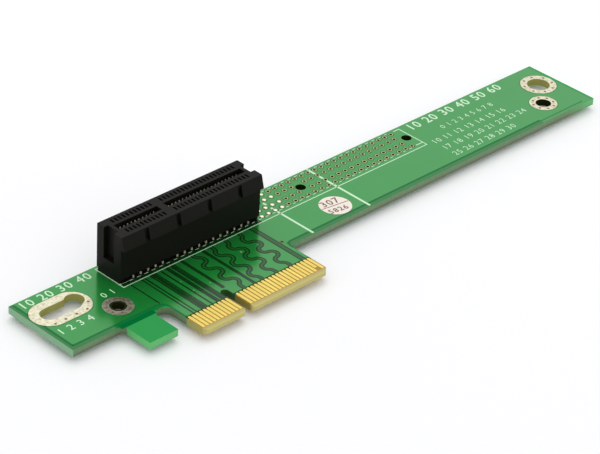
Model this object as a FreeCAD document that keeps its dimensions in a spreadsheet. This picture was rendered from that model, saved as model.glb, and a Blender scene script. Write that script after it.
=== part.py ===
import FreeCAD, Part
import Sketcher
import math
import os

# A low riser card for a slim server: a long green circuit board with a gold edge tab that
# plugs into a four-lane socket below, and a four-lane socket on top for the card it carries.
# The board is drilled for a longer sixteen-lane socket, so four rows of spare plated holes
# run on past the fitted one.
#
# Every piece is modelled about the key of the socket: X runs along the board, Y across it
# towards its back edge, Z up, with the top face of the board at zero. One placement then
# moves all of them, so that the card stands on its contact tails about the middle of its
# own box.

# Driving dimensions in millimetres: name, size, what it is.
SIZES = (
    ("board_length", 156.3, "left end to right end of the board"),
    ("strip_width", 19.7, "back edge to front edge of the plain strip"),
    ("board_thickness", 1.6, "laminate thickness"),
    ("key_from_left", 36.4, "left end of the board to the socket key"),
    ("axis_from_back", 4.6, "back edge of the board to the socket centre line"),
    ("tab_reach", 11.6, "how far the edge tab stands out from the strip"),
    ("tab_left", 12.15, "key to the left flank of the edge tab"),
    ("tab_right", 22.15, "key to the right flank of the edge tab"),
    ("tab_chamfer", 0.9, "corner chamfer of the edge tab"),
    ("tab_heel_radius", 0.8, "inside corner between tab and strip"),
    ("key_notch_width", 1.9, "width of the key notch in the tab"),
    ("key_notch_depth", 8.4, "depth of the key notch"),
    ("key_lead_chamfer", 0.5, "lead-in chamfers of the key notch"),
    ("bevel_run", 1.0, "length of the tab's edge bevel"),
    ("bevel_drop", 0.4, "depth of the tab's edge bevel on each face"),
    ("ear_width", 7.4, "width of the ear beside the tab"),
    ("ear_reach", 7.8, "how far the ear stands out from the strip"),
    ("ear_heel_radius", 1.0, "inside corner between ear and strip"),
    ("relief_width", 3.85, "round-topped gap between ear and tab"),
    ("mounting_bore", 5.3, "finished bore of the round mounting hole"),
    ("mounting_land", 8.5, "diameter of the bare land round that hole"),
    ("mounting_from_right", 5.1, "right end of the board to the mounting hole"),
    ("mounting_from_back", 7.25, "back edge to both mounting holes"),
    ("slotted_width", 4.2, "width of the keyhole-shaped mounting slot"),
    ("slotted_travel", 5.6, "distance between the slot's end centres"),
    ("slotted_from_left", 4.55, "left end of the board to the slot's first centre"),
    ("slotted_land", 8.5, "width of the bare land round the slot"),
    ("entry_along", 1.35, "entry hole past the slot's last centre"),
    ("entry_across", 0.75, "entry hole off the slot's centre line"),
    ("tooling_bore", 3.6, "finished bore of the two tooling holes"),
    ("tooling_land", 6.5, "diameter of their lands"),
    ("tooling_from_back", 13.8, "back edge to the tooling holes"),
    ("left_tooling_from_left", 16.7, "left end to the left tooling hole"),
    ("right_tooling_from_right", 10.85, "right end to the right tooling hole"),
    ("land_thickness", 0.05, "tinned copper of the lands above the laminate"),
    ("contact_pitch", 1.0, "distance from one contact to the next"),
    ("key_to_contact", 1.5, "key to the nearest contact on either side"),
    ("inner_row", 1.25, "centre line to the inner rows of holes"),
    ("outer_row", 3.25, "centre line to the outer rows of holes"),
    ("small_hole_width", 0.7, "width of a small plated hole, kept square for few faces"),
    ("peg_hole_bore", 2.35, "bore of the holes for the socket's pegs"),
    ("peg_play", 0.15, "difference between peg and peg hole diameters"),
    ("second_peg", 23.15, "key to the second peg of the fitted socket"),
    ("eight_lane_peg", 40.15, "key to the peg hole of an eight-lane socket"),
    ("sixteen_lane_peg", 73.15, "key to the peg hole of a sixteen-lane socket"),
    ("socket_left", 14.3, "key to the left end of the socket"),
    ("socket_right", 24.3, "key to the right end of the socket"),
    ("socket_height", 11.15, "board to the top of the socket"),
    ("socket_half_depth", 3.65, "centre line to the upright faces"),
    ("socket_lift", 0.9, "gap below the housing between its feet"),
    ("foot_length", 1.3, "length of the feet at the socket's ends"),
    ("foot_inset", 0.4, "feet set in from the upright faces"),
    ("flare_height", 8.1, "board to the lower edge of the front flare"),
    ("flare_reach", 1.05, "flare's lower edge out from the upright face"),
    ("flare_lip", 0.2, "flare's upper edge out from the upright face"),
    ("groove_width", 1.1, "width of the grooves in the flare"),
    ("groove_pitch", 8.53, "distance from groove to groove"),
    ("groove_top", 0.25, "top face to the upper end of the grooves"),
    ("end_pocket_width", 3.2, "width of the pocket in each end face"),
    ("end_pocket_depth", 1.1, "depth of that pocket"),
    ("end_pocket_floor", 3.9, "board to the floor of that pocket"),
    ("card_slot_width", 1.7, "width of the slot that takes the card"),
    ("card_slot_depth", 8.3, "depth of the slot that takes the card"),
    ("slot_end_play", 0.25, "slot longer than a card tab at each end"),
    ("key_rib_width", 1.75, "width of the rib that fits a card's key notch"),
    ("window_near", 1.6, "centre line to the near side of a window"),
    ("window_far", 2.9, "centre line to the far side of a window"),
    ("cavity_width", 0.5, "width of a contact's window and cavity"),
    ("cavity_near", 1.15, "centre line to the lower cavity's near wall"),
    ("bridge_thickness", 0.95, "plastic left between slot and windows"),
    ("cavity_sill", 0.3, "slot floor to the opening of a cavity"),
    ("contact_width", 0.4, "width of a contact along the board"),
    ("contact_thickness", 0.2, "strip thickness of a contact"),
    ("tip_from_axis", 1.15, "centre line to a contact's turned-back tip"),
    ("bend_from_axis", 0.78, "centre line to a contact's bend"),
    ("stem_from_axis", 1.55, "centre line to a contact's upright stem"),
    ("tip_below_top", 1.25, "top of the socket to a contact's tip"),
    ("bend_below_top", 2.05, "top of the socket to a contact's bend"),
    ("stem_below_top", 5.65, "top of the socket to the start of the stem"),
    ("foot_bend_height", 0.45, "board to the level jog of an outer contact"),
    ("stem_jog_height", 1.6, "board to the small jog of an inner contact"),
    ("tail_reach", 1.1, "contact tails below the board"),
    ("finger_width", 0.7, "width of an edge finger"),
    ("finger_thickness", 0.05, "gold-plated copper above the laminate"),
    ("finger_top", 5.75, "tab edge to the upper end of the fingers"),
    ("finger_tip", 1.05, "tab edge to the lower end of the fingers"),
    ("short_finger_tip", 2.15, "tab edge to the end of a presence finger"),
    ("label_diameter", 7.2, "round inspection label"),
    ("label_thickness", 0.1, "its thickness"),
    ("label_from_key", 40.6, "key to its centre"),
    ("label_from_back", 14.7, "back edge to its centre"),
)

SHEET = "sizes"
SHORT_BANK = 11      # contacts and fingers left of the key
LONG_BANK = 21       # contacts and fingers right of the key, four lanes
LAST_FILLED = 43     # last position whose spare hole is filled with solder
LAST_SPARE = 82      # last position of a sixteen-lane socket
GROOVES = 4          # upright grooves in the front flare of the socket
BLOCKED = (33, 51)   # positions left undrilled in the inner rows, too near a peg hole
OVERCUT = 1.0        # how far a cutting profile stands past what it cuts


class Size:
    """A length that carries its number and the sheet expression that gives it."""

    def __init__(self, number, text):
        self.number = number
        self.text = text

    @staticmethod
    def of(value):
        """Return value as a Size, so that plain numbers can be mixed in."""
        if isinstance(value, Size):
            return value
        return Size(float(value), "({0!r})".format(float(value)))

    def __add__(self, other):
        other = Size.of(other)
        return Size(self.number + other.number, "({0} + {1})".format(self.text, other.text))

    def __sub__(self, other):
        other = Size.of(other)
        return Size(self.number - other.number, "({0} - {1})".format(self.text, other.text))

    def __mul__(self, factor):
        factor = Size.of(factor)
        return Size(self.number * factor.number, "({0} * {1})".format(self.text, factor.text))

    def __neg__(self):
        return self * -1

    __radd__ = __add__
    __rmul__ = __mul__


ZERO = Size.of(0)


class Sizes:
    """The driving dimensions, kept in the document's spreadsheet."""

    def __init__(self, document):
        sheet = document.addObject("Spreadsheet::Sheet", SHEET)
        for row, (name, size, note) in enumerate(SIZES, start=1):
            sheet.set("A{0}".format(row), name)
            sheet.set("B{0}".format(row), str(size))
            sheet.set("C{0}".format(row), note)
            sheet.setAlias("B{0}".format(row), name)
        document.recompute()
        for name, size, note in SIZES:
            setattr(self, name, Size(float(sheet.get(name)), "{0}.{1}".format(SHEET, name)))


class Outline:
    """A closed outline, walked corner by corner in lines and arcs."""

    def __init__(self, x, y):
        self.corners = [(Size.of(x), Size.of(y))]
        self.arcs = {}

    def to(self, x, y):
        """Walk straight to a corner."""
        self.corners.append((Size.of(x), Size.of(y)))
        return self

    def around(self, x, y, centre_x, centre_y, clockwise):
        """Walk to a corner along an arc about a centre."""
        centre = (Size.of(centre_x), Size.of(centre_y))
        self.arcs[len(self.corners) - 1] = (centre, clockwise)
        return self.to(x, y)

    def back(self):
        """Drop the last corner where it repeats the first one."""
        self.corners.pop()
        return self


class Circle:
    """A full circle, by its centre and diameter."""

    def __init__(self, x, y, diameter):
        self.centre = (Size.of(x), Size.of(y))
        self.diameter = diameter


def vector(corner):
    """Return a corner of an outline as a vector in the plane of its sketch."""
    return FreeCAD.Vector(corner[0].number, corner[1].number, 0)


def heading(centre, corner):
    """Return the angle at which a centre sees a corner."""
    return math.atan2(corner.y - centre.y, corner.x - centre.x)


def fix(sketch, kind, geometry, point, size):
    """Hold one coordinate of a point at a size of the sheet."""
    index = sketch.addConstraint(
        Sketcher.Constraint(kind, -1, 1, geometry, point, size.number))
    sketch.setExpression("Constraints[{0}]".format(index), size.text)


def draw(sketch, outline):
    """Draw a circle or a closed outline in a sketch and hold it with bound constraints."""
    if isinstance(outline, Circle):
        draw_circle(sketch, outline)
        return
    count = len(outline.corners)
    ends = []
    for number in range(count):
        start = vector(outline.corners[number])
        stop = vector(outline.corners[(number + 1) % count])
        if number not in outline.arcs:
            geometry = sketch.addGeometry(Part.LineSegment(start, stop))
            ends.append((geometry, 1, 2))
            continue
        centre, clockwise = outline.arcs[number]
        middle = vector(centre)
        first, last = (stop, start) if clockwise else (start, stop)
        begin = heading(middle, first)
        end = heading(middle, last)
        if end <= begin:
            end += 2 * math.pi
        circle = Part.Circle(middle, FreeCAD.Vector(0, 0, 1), (start - middle).Length)
        geometry = sketch.addGeometry(Part.ArcOfCircle(circle, begin, end))
        ends.append((geometry, 2, 1) if clockwise else (geometry, 1, 2))
    for number in range(count):
        before = ends[number - 1]
        here = ends[number]
        sketch.addConstraint(
            Sketcher.Constraint("Coincident", before[0], before[2], here[0], here[1]))
        fix(sketch, "DistanceX", here[0], here[1], outline.corners[number][0])
        fix(sketch, "DistanceY", here[0], here[1], outline.corners[number][1])
    for number, (centre, clockwise) in outline.arcs.items():
        chord = vector(outline.corners[(number + 1) % count]) - vector(outline.corners[number])
        if abs(chord.x) > abs(chord.y):
            fix(sketch, "DistanceY", ends[number][0], 3, centre[1])
        else:
            fix(sketch, "DistanceX", ends[number][0], 3, centre[0])


def draw_circle(sketch, circle):
    """Draw a circle in a sketch and hold its centre and diameter."""
    diameter = circle.diameter
    curve = Part.Circle(vector(circle.centre), FreeCAD.Vector(0, 0, 1), diameter.number / 2)
    geometry = sketch.addGeometry(curve)
    fix(sketch, "DistanceX", geometry, 3, circle.centre[0])
    fix(sketch, "DistanceY", geometry, 3, circle.centre[1])
    index = sketch.addConstraint(Sketcher.Constraint("Diameter", geometry, diameter.number))
    sketch.setExpression("Constraints[{0}]".format(index), diameter.text)


def rectangle(left, bottom, right, top):
    """Return the outline of an upright rectangle."""
    return Outline(left, bottom).to(right, bottom).to(right, top).to(left, top)


def stadium(left_x, right_x, y, radius):
    """Return a slot's outline: two straight sides and two half-round ends."""
    return (Outline(left_x, y - radius)
            .to(right_x, y - radius)
            .around(right_x, y + radius, right_x, y, False)
            .to(left_x, y + radius)
            .around(left_x, y - radius, left_x, y, False)
            .back())


class Piece:
    """One named piece of the card: a body whose features are added in order."""

    def __init__(self, document, sizes, name):
        self.document = document
        self.body = document.addObject("PartDesign::Body", name)
        self.body.Label = name
        depth = sizes.strip_width + sizes.tab_reach
        place = (
            ("x", sizes.key_from_left - sizes.board_length * 0.5),
            ("y", depth * 0.5 - sizes.axis_from_back),
            ("z", sizes.tail_reach + sizes.board_thickness),
        )
        for axis, size in place:
            self.body.setExpression("Placement.Base.{0}".format(axis), size.text)

    def origin(self, role):
        """Return one of the body's own origin planes or axes."""
        for feature in self.body.Origin.OriginFeatures:
            if feature.Role == role:
                return feature
        raise ValueError("no origin feature {0}".format(role))

    def sketch(self, name, plane, offset=ZERO):
        """Start a sketch on an origin plane, lifted along the plane's normal."""
        sketch = self.body.newObject("Sketcher::SketchObject", name)
        sketch.AttachmentSupport = [(self.origin(plane), "")]
        sketch.MapMode = "FlatFace"
        sketch.AttachmentOffset = FreeCAD.Placement(
            FreeCAD.Vector(0, 0, offset.number), FreeCAD.Rotation())
        sketch.setExpression("AttachmentOffset.Base.z", offset.text)
        return sketch

    def pad(self, name, sketch, length, down=False, middle=False):
        """Add material from a sketch."""
        pad = self.body.newObject("PartDesign::Pad", name)
        pad.Profile = sketch
        pad.Reversed = down
        pad.SideType = "Symmetric" if middle else "One side"
        pad.Length = length.number
        pad.setExpression("Length", length.text)
        return self.settle(pad, grows=True)

    def pocket(self, name, sketch, length=None, up=False, middle=False):
        """Take material away below a sketch, right through unless a length is given."""
        pocket = self.body.newObject("PartDesign::Pocket", name)
        pocket.Profile = sketch
        pocket.Reversed = up
        pocket.SideType = "Symmetric" if middle else "One side"
        if length is None:
            pocket.Type = "ThroughAll"
        else:
            pocket.Length = length.number
            pocket.setExpression("Length", length.text)
        return self.settle(pocket, grows=False)

    def drill(self, name, outlines, height):
        """Cut outlines that may run into each other right through, from a height down."""
        for number, outline in enumerate(outlines, start=1):
            sketch = self.sketch("{0}_outline_{1}".format(name, number), "XY_Plane", height)
            draw(sketch, outline)
            self.pocket("{0}_{1}".format(name, number), sketch)

    def repeat(self, name, feature, spacing, count):
        """Repeat a feature along the board at a fixed spacing."""
        grows = feature.TypeId == "PartDesign::Pad"
        pattern = self.body.newObject("PartDesign::LinearPattern", name)
        pattern.Originals = [feature]
        pattern.Direction = (self.origin("X_Axis"), [""])
        pattern.Mode = "Spacing"
        pattern.Offset = spacing.number
        pattern.setExpression("Offset", spacing.text)
        pattern.Occurrences = count
        pattern.Refine = False
        self.body.Tip = pattern
        return self.settle(pattern, grows)

    def settle(self, feature, grows):
        """Recompute and make sure that a feature changed the solid the right way."""
        self.document.recompute()
        before = feature.BaseFeature.Shape.Volume if feature.BaseFeature else 0.0
        after = feature.Shape.Volume
        if grows and after <= before or not grows and after >= before:
            raise ValueError("{0} did not change {1}".format(feature.Name, self.body.Label))
        return feature


def contact_offset(sizes, number):
    """Return how far contact or finger number lies from the key along the board."""
    if number > SHORT_BANK:
        return sizes.key_to_contact + sizes.contact_pitch * (number - SHORT_BANK - 1)
    return -sizes.key_to_contact - sizes.contact_pitch * (SHORT_BANK - number)


def use_of(number):
    """Return what the holes at a position are for."""
    if number <= SHORT_BANK + LONG_BANK:
        return "tail"
    return "filled" if number <= LAST_FILLED else "spare"


def row_runs(inner, uses=("tail", "filled", "spare")):
    """Return a row's runs of evenly spaced holes as first position, last position and use."""
    runs = []
    for number in range(1 if inner else 2, LAST_SPARE + 1, 2):
        use = use_of(number)
        if inner and number in BLOCKED or use not in uses:
            continue
        follows = runs and runs[-1][1] == number - 2 and runs[-1][2] == use
        crosses_key = number - 2 <= SHORT_BANK < number
        if follows and not crosses_key:
            runs[-1] = (runs[-1][0], number, use)
        else:
            runs.append((number, number, use))
    return runs


class Edges:
    """Where the edges of the board and of its tab lie from the key."""

    def __init__(self, sizes):
        self.left = -sizes.key_from_left
        self.right = sizes.board_length - sizes.key_from_left
        self.back = sizes.axis_from_back
        self.front = self.back - sizes.strip_width
        self.tab = self.front - sizes.tab_reach


def board_outline(sizes):
    """Return the board's outline: strip, ear, relief gap and keyed edge tab."""
    edges = Edges(sizes)
    left, right, back = edges.left, edges.right, edges.back
    front, edge = edges.front, edges.tab
    ear_right = -sizes.tab_left - sizes.relief_width
    ear_left = ear_right - sizes.ear_width
    ear_edge = front - sizes.ear_reach
    relief = sizes.relief_width * 0.5
    notch = sizes.key_notch_width * 0.5
    notch_top = edge + sizes.key_notch_depth - notch
    lead = sizes.key_lead_chamfer
    corner = sizes.tab_chamfer
    ear_heel = sizes.ear_heel_radius
    tab_heel = sizes.tab_heel_radius
    return (Outline(left, front)
            .to(ear_left - ear_heel, front)
            .around(ear_left, front - ear_heel, ear_left - ear_heel, front - ear_heel, True)
            .to(ear_left, ear_edge)
            .to(ear_right, ear_edge)
            .to(ear_right, front - relief)
            .around(-sizes.tab_left, front - relief, ear_right + relief, front - relief, True)
            .to(-sizes.tab_left, edge + corner)
            .to(-sizes.tab_left + corner, edge)
            .to(-notch - lead, edge)
            .to(-notch, edge + lead)
            .to(-notch, notch_top)
            .around(notch, notch_top, 0, notch_top, True)
            .to(notch, edge + lead)
            .to(notch + lead, edge)
            .to(sizes.tab_right - corner, edge)
            .to(sizes.tab_right, edge + corner)
            .to(sizes.tab_right, front - tab_heel)
            .around(sizes.tab_right + tab_heel, front,
                    sizes.tab_right + tab_heel, front - tab_heel, True)
            .to(right, front)
            .to(right, back)
            .to(left, back))


def mounting_holes(sizes):
    """Return the outlines of the round mounting hole, the keyhole slot and its entry hole."""
    edges = Edges(sizes)
    y = edges.back - sizes.mounting_from_back
    slot_left = edges.left + sizes.slotted_from_left
    slot_right = slot_left + sizes.slotted_travel
    return (Circle(edges.right - sizes.mounting_from_right, y, sizes.mounting_bore),
            stadium(slot_left, slot_right, y, sizes.slotted_width * 0.5),
            Circle(slot_right + sizes.entry_along, y + sizes.entry_across,
                   sizes.slotted_width))


def mounting_lands(sizes):
    """Return the outlines of the lands round the mounting hole and the keyhole slot."""
    edges = Edges(sizes)
    y = edges.back - sizes.mounting_from_back
    slot_left = edges.left + sizes.slotted_from_left
    return (Circle(edges.right - sizes.mounting_from_right, y, sizes.mounting_land),
            stadium(slot_left, slot_left + sizes.slotted_travel, y,
                    sizes.slotted_land * 0.5))


def tooling_circles(sizes, diameter):
    """Return a circle of one diameter about each of the two tooling holes."""
    edges = Edges(sizes)
    y = edges.back - sizes.tooling_from_back
    return (Circle(edges.left + sizes.left_tooling_from_left, y, diameter),
            Circle(edges.right - sizes.right_tooling_from_right, y, diameter))


def make_circuit_board(document, sizes):
    """Cut the laminate to its outline, bevel the tab's edge and drill every hole."""
    piece = Piece(document, sizes, "circuit_board")
    sketch = piece.sketch("board_outline", "XY_Plane")
    draw(sketch, board_outline(sizes))
    piece.pad("laminate", sketch, sizes.board_thickness, down=True)
    edge = Edges(sizes).tab

    for name, face, inward in (("upper", ZERO, -1), ("lower", -sizes.board_thickness, 1)):
        sketch = piece.sketch(name + "_bevel_profile", "YZ_Plane")
        draw(sketch, Outline(edge + sizes.bevel_run, face)
             .to(edge, face + sizes.bevel_drop * inward)
             .to(edge - OVERCUT, face + sizes.bevel_drop * inward)
             .to(edge - OVERCUT, face - OVERCUT * inward)
             .to(edge + sizes.bevel_run, face - OVERCUT * inward))
        piece.pocket(name + "_bevel", sketch, middle=True)

    pegs = [Circle(peg_x, ZERO, sizes.peg_hole_bore) for peg_x in
            (ZERO, sizes.second_peg, sizes.eight_lane_peg, sizes.sixteen_lane_peg)]
    piece.drill("peg_holes", pegs, ZERO)
    piece.drill("tooling_holes", tooling_circles(sizes, sizes.tooling_bore), ZERO)
    piece.drill("mounting_holes", mounting_holes(sizes), ZERO)

    spacing = sizes.contact_pitch * 2
    for row_name, row, inner in (("inner", sizes.inner_row, True),
                                 ("outer", sizes.outer_row, False)):
        for first, last, use in row_runs(inner):
            name = "{0}_{1}_{2}".format(row_name, use, first)
            x = contact_offset(sizes, first)
            sketch = piece.sketch(name + "_profile", "XY_Plane")
            for y in (row, -row):
                draw(sketch, small_hole(sizes, x, y))
            hole = piece.pocket(name, sketch)
            piece.repeat(name + "_run", hole, spacing, (last - first) // 2 + 1)
    return piece


def small_hole(sizes, x, y):
    """Return the outline of one small hole."""
    half = sizes.small_hole_width * 0.5
    return rectangle(x - half, y - half, x + half, y + half)


def make_lands(document, sizes, name, lands, holes):
    """Lay tinned lands on both faces of the board and open them at the holes."""
    piece = Piece(document, sizes, name)
    thickness = sizes.land_thickness
    for face, height, down in (("upper", ZERO, False),
                               ("lower", -sizes.board_thickness, True)):
        sketch = piece.sketch(face + "_outline", "XY_Plane", height)
        for outline in lands:
            draw(sketch, outline)
        piece.pad(face + "_lands", sketch, thickness, down=down)
    piece.drill("hole", holes, thickness)
    return piece


def make_solder_plugs(document, sizes, name, side):
    """Fill the spare holes that were soldered shut on one side of the centre line."""
    piece = Piece(document, sizes, name)
    spacing = sizes.contact_pitch * 2
    for row_name, row, inner in (("inner", sizes.inner_row, True),
                                 ("outer", sizes.outer_row, False)):
        for first, last, use in row_runs(inner, ("filled",)):
            x = contact_offset(sizes, first)
            sketch = piece.sketch(row_name + "_plug_outline", "XY_Plane")
            draw(sketch, small_hole(sizes, x, row * side))
            plug = piece.pad(row_name + "_plug", sketch, sizes.board_thickness, down=True)
            piece.repeat(row_name + "_plugs", plug, spacing, (last - first) // 2 + 1)
    return piece


def make_slot_housing(document, sizes):
    """Mould the socket: flared section, two keyed slot bays, cavities, feet and pegs."""
    piece = Piece(document, sizes, "slot_housing")
    top = sizes.socket_height
    face = sizes.socket_half_depth
    lift = sizes.socket_lift
    length = sizes.socket_left + sizes.socket_right

    sketch = piece.sketch("housing_section", "YZ_Plane", -sizes.socket_left)
    draw(sketch, Outline(-face, lift)
         .to(face, lift)
         .to(face, top)
         .to(-face - sizes.flare_lip, top)
         .to(-face - sizes.flare_reach, sizes.flare_height)
         .to(-face, sizes.flare_height))
    piece.pad("housing", sketch, length)

    foot = face - sizes.foot_inset
    for name, start in (("left", -sizes.socket_left),
                        ("right", sizes.socket_right - sizes.foot_length)):
        sketch = piece.sketch(name + "_foot_outline", "XY_Plane", lift)
        draw(sketch, rectangle(start, -foot, start + sizes.foot_length, foot))
        piece.pad(name + "_foot", sketch, lift, down=True)

    sketch = piece.sketch("peg_outlines", "XY_Plane", lift)
    for peg_x in (ZERO, sizes.second_peg):
        draw(sketch, Circle(peg_x, ZERO, sizes.peg_hole_bore - sizes.peg_play))
    piece.pad("pegs", sketch, lift + sizes.board_thickness, down=True)

    half_slot = sizes.card_slot_width * 0.5
    half_rib = sizes.key_rib_width * 0.5
    sketch = piece.sketch("slot_bays_outline", "XY_Plane", top)
    draw(sketch, rectangle(-sizes.tab_left - sizes.slot_end_play, -half_slot,
                           -half_rib, half_slot))
    draw(sketch, rectangle(half_rib, -half_slot,
                           sizes.tab_right + sizes.slot_end_play, half_slot))
    piece.pocket("slot_bays", sketch, sizes.card_slot_depth)

    half_pocket = sizes.end_pocket_width * 0.5
    depth = sizes.end_pocket_depth
    sketch = piece.sketch("end_pockets_outline", "XY_Plane", top)
    draw(sketch, rectangle(-sizes.socket_left - OVERCUT, -half_pocket,
                           -sizes.socket_left + depth, half_pocket))
    draw(sketch, rectangle(sizes.socket_right - depth, -half_pocket,
                           sizes.socket_right + OVERCUT, half_pocket))
    piece.pocket("end_pockets", sketch, top - sizes.end_pocket_floor)

    centre = (sizes.socket_right - sizes.socket_left) * 0.5
    first_groove = centre - sizes.groove_pitch * (0.5 * (GROOVES - 1))
    half_groove = sizes.groove_width * 0.5
    sketch = piece.sketch("groove_outline", "XY_Plane", top - sizes.groove_top)
    draw(sketch, rectangle(first_groove - half_groove, -face - sizes.flare_reach - OVERCUT,
                           first_groove + half_groove, -face))
    groove = piece.pocket("groove", sketch, top - sizes.groove_top - sizes.flare_height)
    piece.repeat("grooves", groove, sizes.groove_pitch, GROOVES)

    for name, first, count in (("short", 1, SHORT_BANK),
                               ("long", SHORT_BANK + 1, LONG_BANK)):
        x = contact_offset(sizes, first)
        sketch = piece.sketch(name + "_cavity_section", "YZ_Plane", x)
        for side in (1, -1):
            draw(sketch, cavity_outline(sizes, side))
        cavity = piece.pocket(name + "_cavity", sketch, sizes.cavity_width, middle=True)
        piece.repeat(name + "_cavities", cavity, sizes.contact_pitch, count)
    return piece


def cavity_outline(sizes, side):
    """Return the section of a contact cavity: top window, slot opening and open foot."""
    top = sizes.socket_height
    under_bridge = top - sizes.bridge_thickness
    sill = top - sizes.card_slot_depth + sizes.cavity_sill
    inside_slot = sizes.card_slot_width * (0.25 * side)
    far = sizes.window_far * side
    near = sizes.window_near * side
    low_near = sizes.cavity_near * side
    above = top + OVERCUT
    below = sizes.socket_lift * 0.5
    return (Outline(near, above)
            .to(far, above)
            .to(far, below)
            .to(low_near, below)
            .to(low_near, sill)
            .to(inside_slot, sill)
            .to(inside_slot, under_bridge)
            .to(near, under_bridge))


def contact_path(sizes, inner):
    """Return a contact's centre line from its tip down to the end of its tail."""
    top = sizes.socket_height
    foot = -sizes.board_thickness - sizes.tail_reach
    head = [(sizes.tip_from_axis, top - sizes.tip_below_top),
            (sizes.bend_from_axis, top - sizes.bend_below_top),
            (sizes.stem_from_axis, top - sizes.stem_below_top)]
    if inner:
        return head + [(sizes.stem_from_axis, sizes.stem_jog_height),
                       (sizes.inner_row, sizes.socket_lift),
                       (sizes.inner_row, foot)]
    return head + [(sizes.stem_from_axis, sizes.foot_bend_height),
                   (sizes.outer_row, sizes.foot_bend_height),
                   (sizes.outer_row, foot)]


def strip_outline(path, thickness, side):
    """Return a bent strip's section, its thickness split each side of its path."""
    half = thickness * 0.5
    points = [FreeCAD.Vector(across.number, up.number, 0) for across, up in path]
    near, far = [], []
    for number, (across, up) in enumerate(path):
        before = points[max(number - 1, 0)]
        here = points[number]
        after = points[min(number + 1, len(points) - 1)]
        into = (here - before) if number else (after - here)
        out = (after - here) if number + 1 < len(points) else into
        into.normalize()
        out.normalize()
        normal = FreeCAD.Vector(-into.y - out.y, into.x + out.x, 0)
        stretch = 2 / normal.Length ** 2
        step_across = half * round(normal.x * stretch, 6)
        step_up = half * round(normal.y * stretch, 6)
        near.append(((across + step_across) * side, up + step_up))
        far.append(((across - step_across) * side, up - step_up))
    corners = near + far[::-1]
    outline = Outline(*corners[0])
    for corner in corners[1:]:
        outline.to(*corner)
    return outline


def make_contact_row(document, sizes, name, side, inner):
    """Stamp one row of contacts, a strip bent to a spring head and a solder tail."""
    piece = Piece(document, sizes, name)
    spacing = sizes.contact_pitch * 2
    for first, last, use in row_runs(inner, ("tail",)):
        bank = "short" if first <= SHORT_BANK else "long"
        x = contact_offset(sizes, first)
        sketch = piece.sketch(bank + "_contact_section", "YZ_Plane", x)
        draw(sketch, strip_outline(contact_path(sizes, inner), sizes.contact_thickness, side))
        contact = piece.pad(bank + "_contact", sketch, sizes.contact_width, middle=True)
        piece.repeat(bank + "_contacts", contact, spacing, (last - first) // 2 + 1)
    return piece


def make_fingers(document, sizes, name, runs, lower):
    """Lay gold fingers on one face of the tab, in runs that share one length."""
    piece = Piece(document, sizes, name)
    edge = Edges(sizes).tab
    half = sizes.finger_width * 0.5
    face = -sizes.board_thickness if lower else ZERO
    for first, last, tip in runs:
        x = contact_offset(sizes, first)
        sketch = piece.sketch("finger_{0}_outline".format(first), "XY_Plane", face)
        draw(sketch, rectangle(x - half, edge + tip, x + half, edge + sizes.finger_top))
        finger = piece.pad("finger_{0}".format(first), sketch,
                           sizes.finger_thickness, down=lower)
        if last > first:
            piece.repeat("fingers_{0}_to_{1}".format(first, last), finger,
                         sizes.contact_pitch, last - first + 1)
    return piece


def make_label(document, sizes):
    """Punch the round inspection label that is stuck on the board."""
    piece = Piece(document, sizes, "inspection_label")
    sketch = piece.sketch("label_outline", "XY_Plane")
    y = sizes.axis_from_back - sizes.label_from_back
    draw(sketch, Circle(sizes.label_from_key, y, sizes.label_diameter))
    piece.pad("label", sketch, sizes.label_thickness)
    return piece


def make_pieces(document, sizes):
    """Make every piece of the card and return them in assembly order."""
    long_tip = sizes.finger_tip
    short_tip = sizes.short_finger_tip
    last = SHORT_BANK + LONG_BANK
    pieces = [
        make_circuit_board(document, sizes),
        make_slot_housing(document, sizes),
    ]
    for side_name, side in (("front", -1), ("back", 1)):
        for row_name, inner in (("inner", True), ("outer", False)):
            name = "contacts_{0}_{1}".format(side_name, row_name)
            pieces.append(make_contact_row(document, sizes, name, side, inner))
        name = "solder_plugs_{0}".format(side_name)
        pieces.append(make_solder_plugs(document, sizes, name, side))
    pieces += [
        make_lands(document, sizes, "mounting_hole_lands",
                   mounting_lands(sizes), mounting_holes(sizes)),
        make_lands(document, sizes, "tooling_hole_lands",
                   tooling_circles(sizes, sizes.tooling_land),
                   tooling_circles(sizes, sizes.tooling_bore)),
        make_fingers(document, sizes, "edge_fingers_top_short",
                     ((1, SHORT_BANK, long_tip),), False),
        make_fingers(document, sizes, "edge_fingers_top_long",
                     ((SHORT_BANK + 1, last - 2, long_tip), (last - 1, last - 1, short_tip),
                      (last, last, long_tip)), False),
        make_fingers(document, sizes, "edge_fingers_bottom_short",
                     ((1, 1, short_tip), (2, SHORT_BANK, long_tip)), True),
        make_fingers(document, sizes, "edge_fingers_bottom_long",
                     ((SHORT_BANK + 1, last, long_tip),), True),
        make_label(document, sizes),
    ]
    return pieces


def check(document):
    """Stop if any object failed to compute."""
    for item in document.Objects:
        if "Invalid" in item.State or "Error" in item.State:
            raise ValueError("{0} failed: {1}".format(item.Name, item.State))


def export(pieces):
    """Write each piece to its own file, named after the piece."""
    os.makedirs("parts", exist_ok=True)
    for piece in pieces:
        shape = piece.body.Shape
        if shape.isNull() or not shape.isValid():
            raise ValueError("{0} has no valid shape".format(piece.body.Label))
        shape.exportStep(os.path.join("parts", piece.body.Label + ".step"))
        print(piece.body.Label, len(shape.Solids), "solids", round(shape.Volume, 3), "mm3")


def main():
    """Build the riser card and write its pieces."""
    document = FreeCAD.newDocument("riser_card")
    sizes = Sizes(document)
    pieces = make_pieces(document, sizes)
    document.recompute()
    check(document)
    export(pieces)


main()
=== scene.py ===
"""Looks of a low riser card: a long green circuit board, a gold edge tab and a card socket.

Places on the card are in millimetres from the key of the socket: X runs along the board, Y
across it towards its back edge and Z up from its top face. Layout turns them into metres in
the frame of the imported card.
"""

from __future__ import annotations

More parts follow.
